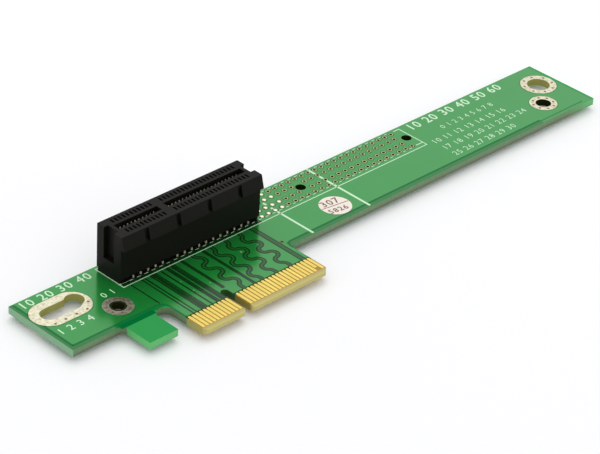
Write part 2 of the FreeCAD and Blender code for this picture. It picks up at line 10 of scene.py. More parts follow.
import logging
import math
from contextlib import contextmanager
from dataclasses import dataclass
from enum import Enum
from typing import Iterator, Sequence

import bmesh
import bpy
from mathutils import Matrix, Vector

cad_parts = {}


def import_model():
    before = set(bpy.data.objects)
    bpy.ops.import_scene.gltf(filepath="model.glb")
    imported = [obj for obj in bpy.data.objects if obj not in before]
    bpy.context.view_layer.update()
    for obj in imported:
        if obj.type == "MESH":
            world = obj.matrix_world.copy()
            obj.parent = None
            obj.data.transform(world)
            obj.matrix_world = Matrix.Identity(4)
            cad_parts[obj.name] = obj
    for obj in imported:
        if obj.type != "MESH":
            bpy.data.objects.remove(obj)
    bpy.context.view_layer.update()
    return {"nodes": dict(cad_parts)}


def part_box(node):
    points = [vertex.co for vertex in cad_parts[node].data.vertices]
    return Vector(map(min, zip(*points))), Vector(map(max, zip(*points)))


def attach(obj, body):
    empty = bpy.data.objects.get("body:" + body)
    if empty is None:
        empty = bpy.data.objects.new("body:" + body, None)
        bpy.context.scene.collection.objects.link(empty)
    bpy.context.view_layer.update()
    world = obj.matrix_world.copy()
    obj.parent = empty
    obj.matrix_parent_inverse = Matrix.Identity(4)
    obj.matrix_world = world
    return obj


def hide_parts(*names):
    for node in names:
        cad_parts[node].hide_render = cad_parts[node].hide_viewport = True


LOG = logging.getLogger("riser_card")

MM = 0.001
BODY = "root"

Colour = tuple[float, float, float]
Place = tuple[float, float]
Pair = tuple[float, float]
Mesh = bmesh.types.BMesh
GREY = (0.5, 0.5, 0.5, 1.0)


class Slot(Enum):
    """Material slots of the card's record."""

    MASK = "solder_mask"
    PLASTIC = "socket_plastic"
    SOLDER = "solder"
    TIN = "tinned_copper"
    GOLD = "gold"
    PAPER = "label_paper"


class Face(Enum):
    """The two faces of the board, by the direction that each looks in."""

    TOP = 1
    UNDER = -1


class Use(Enum):
    """What a small plated hole holds."""

    TAIL = "tail"
    FILLED = "filled"
    OPEN = "open"


class Zone(Enum):
    """Kinds of bare laminate, by how it was cut and where it lies, with their colours, some
    of them painted light and shade.
    """

    WALL = (0.19, 0.33, 0.16)
    MARK = (0.11, 0.22, 0.10)
    # Painted shade: the darker colour towards the foot of the routed walls.
    FOOT = (0.15, 0.14, 0.085)
    # Painted light: the left end wall is paler, as if lit from the left.
    PALE = (0.24, 0.47, 0.27)
    EAR = (0.13, 0.55, 0.17)
    # Painted shade: the upper walls of the narrow key notch are dark.
    CLEFT = (0.03, 0.10, 0.025)
    TAB = (0.42, 0.25, 0.035)
    FLANK = (0.42, 0.38, 0.12)
    NOTCH = (0.30, 0.25, 0.04)
    BEVEL = (0.50, 0.38, 0.14)
    LIP = (0.58, 0.52, 0.17)


@dataclass(frozen=True)
class Layout:
    """Where the socket's key is and how far the card reaches from it, in millimetres."""

    key: Vector
    left: float
    right: float
    back: float
    tab_edge: float
    thickness: float
    socket_left: float
    socket_right: float
    socket_front: float
    finger_top: float
    finger_end: float
    strip_width: float = 19.7

    @classmethod
    def from_frame(cls) -> Layout:
        """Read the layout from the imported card's own pieces.

        Returns:
            The layout.
        """
        board_low, board_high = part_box("circuit_board")
        socket_low, socket_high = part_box("slot_housing")
        front_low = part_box("contacts_front_inner")[0]
        back_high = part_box("contacts_back_inner")[1]
        short_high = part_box("edge_fingers_top_short")[1]
        long_low, long_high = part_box("edge_fingers_top_long")
        key = Vector(((short_high.x + long_low.x) / 2,
                      (front_low.y + back_high.y) / 2, board_high.z))
        return cls(
            key=key,
            left=(board_low.x - key.x) / MM,
            right=(board_high.x - key.x) / MM,
            back=(board_high.y - key.y) / MM,
            tab_edge=(board_low.y - key.y) / MM,
            thickness=(board_high.z - board_low.z) / MM,
            socket_left=(socket_low.x - key.x) / MM,
            socket_right=(socket_high.x - key.x) / MM,
            socket_front=(socket_low.y - key.y) / MM,
            finger_top=(long_high.y - key.y) / MM,
            finger_end=(long_low.y - key.y) / MM,
        )

    @property
    def front(self) -> float:
        """Return the front edge of the plain strip."""
        return self.back - self.strip_width

    @property
    def mounting_y(self) -> float:
        """Return the line of the two mounting holes."""
        return self.back - 7.25

    @property
    def tooling_y(self) -> float:
        """Return the line of the two tooling holes."""
        return self.back - 13.8

    @property
    def mounting_x(self) -> float:
        """Return the place of the round mounting hole along the board."""
        return self.right - 5.1

    @property
    def slot_ends(self) -> tuple[float, float]:
        """Return the end centres of the keyhole slot along the board."""
        return self.left + 4.55, self.left + 10.15

    @property
    def tooling_x(self) -> tuple[float, float]:
        """Return the places of the two tooling holes along the board."""
        return self.left + 16.7, self.right - 10.85

    @property
    def matrix(self) -> Matrix:
        """Return the transform from millimetres about the key to the card's frame."""
        return Matrix.Translation(self.key) @ Matrix.Scale(MM, 4)

    def at(self, x: float, y: float, z: float) -> Vector:
        """Return a place on the card in metres in the card's frame."""
        return self.matrix @ Vector((x, y, z))

    def level(self, face: Face) -> float:
        """Return the height of one face of the board."""
        return 0.0 if face is Face.TOP else -self.thickness


class Track:
    """A flat strip laid out like copper: straight runs and round turns of one width."""

    STEP = math.radians(15)

    def __init__(self, mesh: Mesh, start: Place, heading: float, width: float) -> None:
        """Start a strip.

        Args:
            mesh: the mesh that gets the strip's faces.
            start: the middle of its first edge.
            heading: the way it sets off, in degrees from +X.
            width: its width.
        """
        self.mesh = mesh
        self.heading = math.radians(heading)
        self.point = Vector((start[0], start[1], 0.0))
        across = self.left() * (width / 2)
        ends = (mesh.verts.new(self.point + across), mesh.verts.new(self.point - across))
        self.edge = mesh.edges.new(ends)

    def forward(self) -> Vector:
        """Return the direction the strip runs in now."""
        return Vector((math.cos(self.heading), math.sin(self.heading), 0.0))

    def left(self) -> Vector:
        """Return the direction to the left of the strip's run."""
        return Vector((-math.sin(self.heading), math.cos(self.heading), 0.0))

    def run(self, length: float) -> Track:
        """Lay a straight stretch and return the strip.

        Args:
            length: how far it runs.

        Returns:
            The strip.
        """
        grown = bmesh.ops.extrude_edge_only(self.mesh, edges=[self.edge])["geom"]
        self.edge = next(item for item in grown if isinstance(item, bmesh.types.BMEdge))
        step = self.forward() * length
        bmesh.ops.translate(self.mesh, vec=step, verts=list(self.edge.verts))
        self.point += step
        return self

    def turn(self, radius: float, degrees: float) -> Track:
        """Lay a round turn, to the left if degrees is positive, and return the strip.

        Args:
            radius: radius to the middle of the strip.
            degrees: how far it turns, to the left if positive.

        Returns:
            The strip.
        """
        angle = math.radians(degrees)
        centre = self.point + self.left() * math.copysign(radius, degrees)
        steps = max(1, round(abs(angle) / self.STEP))
        spun = bmesh.ops.spin(
            self.mesh, geom=[self.edge, *self.edge.verts], cent=centre, axis=(0, 0, 1),
            dvec=(0, 0, 0), angle=angle, steps=steps, use_duplicate=False)
        last = spun["geom_last"]
        self.edge = next(item for item in last if isinstance(item, bmesh.types.BMEdge))
        self.heading += angle
        self.point = (self.edge.verts[0].co + self.edge.verts[1].co) / 2
        return self


def verts_of(geometry: Sequence[object]) -> list[bmesh.types.BMVert]:
    """Return the vertices among what an operator made."""
    return [item for item in geometry if isinstance(item, bmesh.types.BMVert)]


@contextmanager
def painted(mesh: Mesh, number: int, lift: float = 0.0) -> Iterator[None]:
    """Give the faces that are added meanwhile a material number, and lift them.

    Args:
        mesh: the mesh that gets the faces.
        number: their material number.
        lift: how far they are raised.
    """
    known = set(mesh.faces)
    yield
    added = [surface for surface in mesh.faces if surface not in known]
    for surface in added:
        surface.material_index = number
    if lift:
        raised = {vertex for surface in added for vertex in surface.verts}
        bmesh.ops.translate(mesh, vec=(0, 0, lift), verts=list(raised))


def thicken(mesh: Mesh, height: float, base: float = 0.0) -> None:
    """Give flat faces a thickness upwards from base, or downwards if height is negative.

    Args:
        mesh: the flat faces.
        height: how thick they get.
        base: height that they are raised to first.
    """
    raised = bmesh.ops.extrude_face_region(mesh, geom=list(mesh.faces), use_keep_orig=True)
    bmesh.ops.translate(mesh, vec=(0, 0, height), verts=verts_of(raised["geom"]))
    if base:
        bmesh.ops.translate(mesh, vec=(0, 0, base), verts=list(mesh.verts))


def merge_flat(mesh: Mesh) -> None:
    """Merge the faces that lie in one plane."""
    bmesh.ops.dissolve_limit(mesh, angle_limit=math.radians(1), verts=list(mesh.verts),
                             edges=list(mesh.edges))


def as_data(mesh: Mesh, name: str) -> bpy.types.Mesh:
    """Turn a finished mesh into mesh data and free it.

    Args:
        mesh: the mesh, which is freed.
        name: the data's name.

    Returns:
        The mesh data.
    """
    data = bpy.data.meshes.new(name)
    mesh.to_mesh(data)
    mesh.free()
    return data


def show(name: str, data: bpy.types.ID) -> bpy.types.Object:
    """Add an object with the given data to the scene and return it.

    Args:
        name: the object's name.
        data: what it shows.

    Returns:
        The object.
    """
    shown = bpy.data.objects.new(name, data)
    bpy.context.collection.objects.link(shown)
    return shown


def add_bar(mesh: Mesh, low: Place, high: Place, base: float, height: float) -> None:
    """Add an upright bar between two corners, standing on base.

    Args:
        mesh: the mesh that gets it.
        low: its left front corner.
        high: its right back corner.
        base: height that it stands on.
        height: its own height.
    """
    size = Vector((high[0] - low[0], high[1] - low[1], height))
    middle = Vector(((low[0] + high[0]) / 2, (low[1] + high[1]) / 2, base + height / 2))
    place = Matrix.Translation(middle) @ Matrix.Diagonal((*size, 1.0))
    bmesh.ops.create_cube(mesh, size=1.0, matrix=place)


def add_disc(mesh: Mesh, centre: Place, radius: float, base: float, height: float,
             sides: int) -> None:
    """Add a flat round disc that stands on base.

    Args:
        mesh: the mesh that gets it.
        centre: its middle.
        radius: its radius.
        base: height that it stands on.
        height: its thickness, downwards if negative.
        sides: how many sides it has.
    """
    place = Matrix.Translation((centre[0], centre[1], base + height / 2))
    bmesh.ops.create_cone(mesh, cap_ends=True, segments=sides, radius1=radius,
                          radius2=radius, depth=abs(height), matrix=place)


def spin_profile(mesh: Mesh, profile: Sequence[Place], sides: int = 12) -> None:
    """Turn a profile of radius and height, closed or ending on the Z axis, about that axis.

    Args:
        mesh: the mesh that gets the shape.
        profile: its outline as radius and height.
        sides: how many sides the round has.
    """
    corners = [mesh.verts.new((radius, 0.0, height)) for radius, height in profile]
    pairs = list(zip(corners, corners[1:]))
    if profile[-1][0] > 0:
        pairs.append((corners[-1], corners[0]))
    edges = [mesh.edges.new(pair) for pair in pairs]
    bmesh.ops.spin(mesh, geom=corners + edges, cent=(0, 0, 0), axis=(0, 0, 1),
                   dvec=(0, 0, 0), angle=math.tau, steps=sides, use_merge=True,
                   use_duplicate=False)
    bmesh.ops.remove_doubles(mesh, verts=list(mesh.verts), dist=1e-5)


def stamp(mesh: Mesh, places: Sequence[Place]) -> None:
    """Repeat what a mesh holds at each place and drop the original about the origin.

    Args:
        mesh: the mesh that holds the original.
        places: where the copies go.
    """
    pattern = list(mesh.verts) + list(mesh.edges) + list(mesh.faces)
    original = list(mesh.verts)
    for x, y in places:
        copy = bmesh.ops.duplicate(mesh, geom=pattern)
        bmesh.ops.translate(mesh, vec=(x, y, 0), verts=verts_of(copy["geom"]))
    bmesh.ops.delete(mesh, geom=original, context="VERTS")


def add_numerals(mesh: Mesh, text: str, height: float, start: Place, turn: float,
                 base: float, thickness: float, weight: float = 0.0) -> None:
    """Add flat plain numbers.

    Args:
        mesh: the mesh that gets them.
        text: numbers and spaces.
        height: height of a figure.
        start: lower left corner of the first figure.
        turn: direction of the line in degrees from +X.
        base: height that they stand on.
        thickness: how far they rise from it.
        weight: how much bolder than the plain face, as an offset of its outline.
    """
    curve = bpy.data.curves.new("numerals", "FONT")
    curve.body = text
    curve.size = height / 0.7
    curve.space_character = 1.15
    curve.offset = weight
    curve.resolution_u = 2
    written = show("numerals", curve)
    bpy.context.view_layer.update()
    flat = bpy.data.meshes.new_from_object(
        written.evaluated_get(bpy.context.evaluated_depsgraph_get()))
    letters = bmesh.new()
    letters.from_mesh(flat)
    bmesh.ops.remove_doubles(letters, verts=list(letters.verts), dist=1e-4)
    thicken(letters, thickness)
    place = (Matrix.Translation((start[0], start[1], base))
             @ Matrix.Rotation(math.radians(turn), 4, "Z"))
    bmesh.ops.transform(letters, matrix=place, verts=list(letters.verts))
    letters.to_mesh(flat)
    letters.free()
    mesh.from_mesh(flat)
    bpy.data.objects.remove(written)
    bpy.data.curves.remove(curve)
    bpy.data.meshes.remove(flat)


class Tree:
    """A shader node tree and the nodes that are added to it."""

    def __init__(self, tree: bpy.types.NodeTree) -> None:
        """Wrap a node tree."""
        self.tree = tree

    def node(self, kind: str, **settings: object) -> bpy.types.Node:
        """Add a node and set its properties.

        Args:
            kind: the node's type.
            settings: its properties.

        Returns:
            The node.
        """
        made = self.tree.nodes.new(kind)
        for name, value in settings.items():
            setattr(made, name, value)
        return made

    def join(self, source: bpy.types.NodeSocket, target: bpy.types.NodeSocket) -> None:
        """Link two sockets."""
        self.tree.links.new(source, target)

    def math(self, operation: str, first: object, second: object) -> bpy.types.NodeSocket:
        """Add a math node and return its result.

        Args:
            operation: what the node does.
            first: a socket or a number.
            second: a socket or a number.

        Returns:
            The result's socket.
        """
        made = self.node("ShaderNodeMath", operation=operation)
        for socket, value in zip(made.inputs, (first, second)):
            if isinstance(value, bpy.types.NodeSocket):
                self.join(value, socket)
            else:
                socket.default_value = value
        return made.outputs[0]

    def mix(self, share: bpy.types.NodeSocket, first: bpy.types.NodeSocket,
            second: bpy.types.NodeSocket) -> bpy.types.NodeSocket:
        """Mix two colours by a share of the second one and return the result.

        Args:
            share: share of the second colour.
            first: the first colour.
            second: the second colour.

        Returns:
            The mixed colour's socket.
        """
        made = self.node("ShaderNodeMix", data_type="RGBA")
        self.join(share, made.inputs["Factor"])
        self.join(first, made.inputs["A"])
        self.join(second, made.inputs["B"])
        return made.outputs["Result"]

    def ramp(self, value: bpy.types.NodeSocket, low: float, high: float,
             bottom: float = 0.0, top: float = 1.0) -> bpy.types.NodeSocket:
        """Add a map from bottom at low to top at high and return its result.

        Args:
            value: what is mapped.
            low: value that gives bottom.
            high: value that gives top.
            bottom: result at low.
            top: result at high.

        Returns:
            The result's socket.
        """
        made = self.node("ShaderNodeMapRange")
        for name, number in (("From Min", low), ("From Max", high),
                             ("To Min", bottom), ("To Max", top)):
            made.inputs[name].default_value = number
        self.join(value, made.inputs["Value"])
        return made.outputs["Result"]

    def noise(self, scale: object, detail: float, stretch: Colour = (1.0, 1.0, 1.0)
              ) -> bpy.types.NodeSocket:
        """Add a noise on Object coordinates and return its value.

        Args:
            scale: a socket or a number.
            detail: how fine it gets.
            stretch: scale along each axis.

        Returns:
            The noise's socket.
        """
        coordinates = self.node("ShaderNodeTexCoord")
        mapping = self.node("ShaderNodeMapping")
        mapping.inputs["Scale"].default_value = stretch
        noise = self.node("ShaderNodeTexNoise")
        noise.inputs["Detail"].default_value = detail
        self.join(coordinates.outputs["Object"], mapping.inputs["Vector"])
        self.join(mapping.outputs["Vector"], noise.inputs["Vector"])
        if isinstance(scale, bpy.types.NodeSocket):
            self.join(scale, noise.inputs["Scale"])
        else:
            noise.inputs["Scale"].default_value = scale
        return noise.outputs["Fac"]

    def group(self, effect: Effect) -> bpy.types.Node:
        """Add one of the shared groups and return its node."""
        return self.node("ShaderNodeGroup", node_tree=effect.tree)


class Effect(Tree):
    """A shader node group that several finishes share."""

    def __init__(self, name: str) -> None:
        """Start an empty group.

        Args:
            name: the group's name.
        """
        super().__init__(bpy.data.node_groups.new(name, "ShaderNodeTree"))
        self.entry = self.tree.nodes.new("NodeGroupInput")
        self.exit = self.tree.nodes.new("NodeGroupOutput")

    def takes(self, name: str, kind: str, value: object) -> None:
        """Add a named input with a starting value."""
        socket = self.tree.interface.new_socket(name, in_out="INPUT", socket_type=kind)
        socket.default_value = value

    def gives(self, name: str, kind: str) -> None:
        """Add a named output."""
        self.tree.interface.new_socket(name, in_out="OUTPUT", socket_type=kind)


class PlacedEffect(Effect):
    """A shader node group that tells places on the card apart, in millimetres."""

    def __init__(self, name: str, layout: Layout) -> None:
        """Start a group that reads Object coordinates.

        Args:
            name: the group's name.
            layout: the card's layout, which turns millimetres into metres.
        """
        super().__init__(name)
        self.layout = layout
        coordinates = self.node("ShaderNodeTexCoord")
        self.parts = self.node("ShaderNodeSeparateXYZ")
        self.join(coordinates.outputs["Object"], self.parts.inputs["Vector"])

    def place(self, axis: str, value: float) -> float:
        """Return a place along one axis of the card in metres."""
        return self.layout.at(value, value, value)["XYZ".index(axis)]

    def over(self, axis: str, limit: float) -> bpy.types.NodeSocket:
        """Return a mask of what lies over a limit along one axis."""
        return self.math("GREATER_THAN", self.parts.outputs[axis], self.place(axis, limit))

    def under(self, axis: str, limit: float) -> bpy.types.NodeSocket:
        """Return a mask of what lies under a limit along one axis."""
        return self.math("LESS_THAN", self.parts.outputs[axis], self.place(axis, limit))

    def both(self, first: bpy.types.NodeSocket, second: bpy.types.NodeSocket
             ) -> bpy.types.NodeSocket:
        """Return a mask of what lies in two masks."""
        return self.math("MULTIPLY", first, second)

    def fade(self, axis: str, start: float, end: float, top: float = 1.0
             ) -> bpy.types.NodeSocket:
        """Return a mask that rises from start to end along one axis."""
        return self.ramp(self.parts.outputs[axis], self.place(axis, start),
                         self.place(axis, end), top=top)


def make_mottle() -> Effect:
    """Make the group that mottles a colour and its gloss in soft patches.

    Returns:
        The group, which gives a colour and a roughness.
    """
    effect = Effect("soft_mottle")
    effect.takes("Colour", "NodeSocketColor", GREY)
    effect.takes("Accent", "NodeSocketColor", GREY)
    effect.takes("Amount", "NodeSocketFloat", 0.5)
    effect.takes("Scale", "NodeSocketFloat", 400.0)
    effect.takes("Roughness", "NodeSocketFloat", 0.4)
    effect.takes("Spread", "NodeSocketFloat", 0.1)
    effect.gives("Colour", "NodeSocketColor")
    effect.gives("Roughness", "NodeSocketFloat")
    entry = effect.entry.outputs
    patches = effect.noise(entry["Scale"], 3.0)
    share = effect.math("MULTIPLY", patches, entry["Amount"])
    mixed = effect.mix(share, entry["Colour"], entry["Accent"])
    centred = effect.math("SUBTRACT", patches, 0.5)
    swing = effect.math("MULTIPLY", centred, entry["Spread"])
    gloss = effect.math("ADD", swing, entry["Roughness"])
    effect.join(mixed, effect.exit.inputs["Colour"])
    effect.join(gloss, effect.exit.inputs["Roughness"])
    return effect


def make_grain() -> Effect:
    """Make the group of fine grain: small bumps with broader hollows among them.

    Returns:
        The group, which gives a height for bumps.
    """
    effect = Effect("fine_grain")
    effect.takes("Scale", "NodeSocketFloat", 4000.0)
    effect.takes("Pits", "NodeSocketFloat", 0.5)
    effect.gives("Height", "NodeSocketFloat")
    entry = effect.entry.outputs
    fine = effect.noise(entry["Scale"], 4.0)
    coarse = effect.noise(effect.math("MULTIPLY", entry["Scale"], 0.17), 2.0)
    deep = effect.math("MULTIPLY", coarse, entry["Pits"])
    effect.join(effect.math("ADD", fine, deep), effect.exit.inputs["Height"])
    return effect


def make_weave() -> Effect:
    """Make the group of glass cloth: fine bands along and across the board.

    Returns:
        The group, which gives a height for bumps.
    """
    effect = Effect("glass_cloth")
    effect.takes("Scale", "NodeSocketFloat", 350.0)
    effect.gives("Height", "NodeSocketFloat")
    heights = []
    for direction in ("X", "Y"):
        coordinates = effect.node("ShaderNodeTexCoord")
        wave = effect.node("ShaderNodeTexWave", wave_type="BANDS", bands_direction=direction)
        wave.inputs["Distortion"].default_value = 0.6
        wave.inputs["Detail"].default_value = 1.0
        effect.join(coordinates.outputs["Object"], wave.inputs["Vector"])
        effect.join(effect.entry.outputs["Scale"], wave.inputs["Scale"])
        heights.append(wave.outputs["Fac"])
    effect.join(effect.math("MAXIMUM", *heights), effect.exit.inputs["Height"])
    return effect


def make_scratches() -> Effect:
    """Make the group of fine scratches that run across the board, as a card slides in.

    Returns:
        The group, which gives a mask.
    """
    effect = Effect("sliding_scratches")
    effect.takes("Amount", "NodeSocketFloat", 0.3)
    effect.gives("Mask", "NodeSocketFloat")
    streaks = effect.noise(3000.0, 2.0, (1.0, 0.04, 1.0))
    deep = effect.ramp(streaks, 0.55, 0.75)
    mask = effect.math("MULTIPLY", deep, effect.entry.outputs["Amount"])
    effect.join(mask, effect.exit.inputs["Mask"])
    return effect


def make_cut_edges(layout: Layout) -> Effect:
    """Make the group that colours bare laminate by where it is on the card.

    Args:
        layout: the card's layout, which says where the tab and its bevel begin.

    Returns:
        The group, with an input for the colour of each zone. The routed walls have
        upright milling marks, with painted shade towards their foot, painted light on the
        left end wall and painted shade high in the key notch.
    """
    effect = PlacedEffect("cut_edges", layout)
    for zone in Zone:
        effect.takes(zone.name, "NodeSocketColor", GREY)
    effect.gives("Colour", "NodeSocketColor")
    colours = {zone: effect.entry.outputs[zone.name] for zone in Zone}
    shoulder = layout.front - 1.0
    notch_side, cleft_end = -5.0, 3.0
    bevel_top = layout.tab_edge + 1.0
    skin = 0.03
    marks = effect.noise(1800.0, 3.0, (1.0, 1.0, 0.05))
    wall = effect.mix(marks, colours[Zone.WALL], colours[Zone.MARK])
    past_notch_side = effect.over("X", notch_side)
    by_cleft = effect.both(past_notch_side, effect.under("X", cleft_end))
    for mask, zone in (
            # Painted shade darkens the walls towards their foot.
            (effect.fade("Z", -0.75, -1.5), Zone.FOOT),
            # Painted light makes the left end wall paler.
            (effect.under("X", layout.left + 0.1), Zone.PALE),
            (effect.both(effect.under("X", -14.0), effect.under("Y", shoulder)), Zone.EAR),
            (effect.fade("X", layout.right - 9.0, layout.right - 2.0, 0.8), Zone.EAR),
            # Painted shade darkens the upper walls of the key notch.
            (effect.both(by_cleft, effect.under("Y", shoulder)), Zone.CLEFT)):
        wall = effect.mix(mask, wall, colours[zone])
    flank = effect.mix(past_notch_side, colours[Zone.FLANK], colours[Zone.NOTCH])
    inside = effect.both(effect.over("Z", skin - layout.thickness), effect.under("Z", -skin))
    tab = effect.mix(inside, colours[Zone.TAB], flank)
    on_tab = effect.both(effect.over("X", -12.4), effect.under("Y", layout.finger_top - 0.2))
    worn = effect.mix(effect.fade("Y", bevel_top, layout.tab_edge + 0.25),
                      colours[Zone.BEVEL], colours[Zone.LIP])
    colour = effect.mix(on_tab, wall, tab)
    effect.join(effect.mix(effect.under("Y", bevel_top), colour, worn),
                effect.exit.inputs["Colour"])
    return effect


@dataclass(frozen=True)
class Effects:
    """The shader groups that the finishes share."""

    mottle: Effect
    grain: Effect
    weave: Effect
    scratches: Effect
    cut_edges: Effect

    @classmethod
    def build(cls, layout: Layout) -> Effects:
        """Build every group once."""
        return cls(make_mottle(), make_grain(), make_weave(), make_scratches(),
                   make_cut_edges(layout))


@dataclass(frozen=True)
class Finish:
    """A surface finish: its colours, gloss, grain and what runs through it."""

    colour: Colour
    accent: Colour
    roughness: float
    amount: float = 0.5
    patch: float = 400.0
    spread: float = 0.1
    metallic: float = 0.0
    specular: float = 0.5
    coat: float = 0.0
    coat_roughness: float = 0.05
    grain: float = 0.0
    grain_scale: float = 4000.0
    weave: float = 0.0
    weave_scale: float = 350.0
    scratches: float = 0.0

    def build(self, name: str, effects: Effects) -> bpy.types.Material:
        """Build the finish as a material.

        Args:
            name: the material's name.
            effects: the shared shader groups.

        Returns:
            The new material.
        """
        material = bpy.data.materials.new(name)
        material.use_nodes = True
        tree = Tree(material.node_tree)
        surface = material.node_tree.nodes["Principled BSDF"]
        mottle = tree.group(effects.mottle)
        for node, socket, value in ((surface, "Metallic", self.metallic),
                                    (surface, "Specular IOR Level", self.specular),
                                    (surface, "Coat Weight", self.coat),
                                    (surface, "Coat Roughness", self.coat_roughness),
                                    (mottle, "Amount", self.amount),
                                    (mottle, "Scale", self.patch),
                                    (mottle, "Roughness", self.roughness),
                                    (mottle, "Spread", self.spread)):
            node.inputs[socket].default_value = value
        self.add_colours(tree, effects, mottle)
        tree.join(mottle.outputs["Colour"], surface.inputs["Base Color"])
        roughness = mottle.outputs["Roughness"]
        if self.scratches:
            marks = tree.group(effects.scratches)
            marks.inputs["Amount"].default_value = self.scratches
            roughness = tree.math("ADD", roughness, marks.outputs["Mask"])
        tree.join(roughness, surface.inputs["Roughness"])
        self.add_relief(tree, effects, surface)
        return material

    def add_colours(self, tree: Tree, effects: Effects, mottle: bpy.types.Node) -> None:
        """Give the mottle the finish's two colours."""
        mottle.inputs["Colour"].default_value = (*self.colour, 1.0)
        mottle.inputs["Accent"].default_value = (*self.accent, 1.0)

    def add_relief(self, tree: Tree, effects: Effects, surface: bpy.types.Node) -> None:
        """Add the finish's weave and grain as bumps, one after the other.

        Args:
            tree: the material's nodes.
            effects: the shared shader groups.
            surface: the material's shader.
        """
        before = None
        for effect, depth, scale in ((effects.weave, self.weave, self.weave_scale),
                                     (effects.grain, self.grain, self.grain_scale)):
            if not depth:
                continue
            relief = tree.group(effect)
            relief.inputs["Scale"].default_value = scale
            bump = tree.node("ShaderNodeBump")
            bump.inputs["Strength"].default_value = 1.0
            bump.inputs["Distance"].default_value = depth * MM
            tree.join(relief.outputs["Height"], bump.inputs["Height"])
            if before:
                tree.join(before, bump.inputs["Normal"])
            before = bump.outputs["Normal"]
        if before:
            tree.join(before, surface.inputs["Normal"])
            tree.join(before, surface.inputs["Coat Normal"])


class LaminateFinish(Finish):
    """Bare laminate, whose colour depends on how it was cut and where it lies, with painted
    light and shade on some walls.
    """

    def add_colours(self, tree: Tree, effects: Effects, mottle: bpy.types.Node) -> None:
        """Let the group of cut edges colour the mottle's two inputs.

        Args:
            tree: the material's nodes.
            effects: the shared shader groups.
            mottle: the mottle's node.
        """
        edges = tree.group(effects.cut_edges)
        for zone in Zone:
            edges.inputs[zone.name].default_value = (*zone.value, 1.0)
        for name in ("Colour", "Accent"):
            tree.join(edges.outputs["Colour"], mottle.inputs[name])


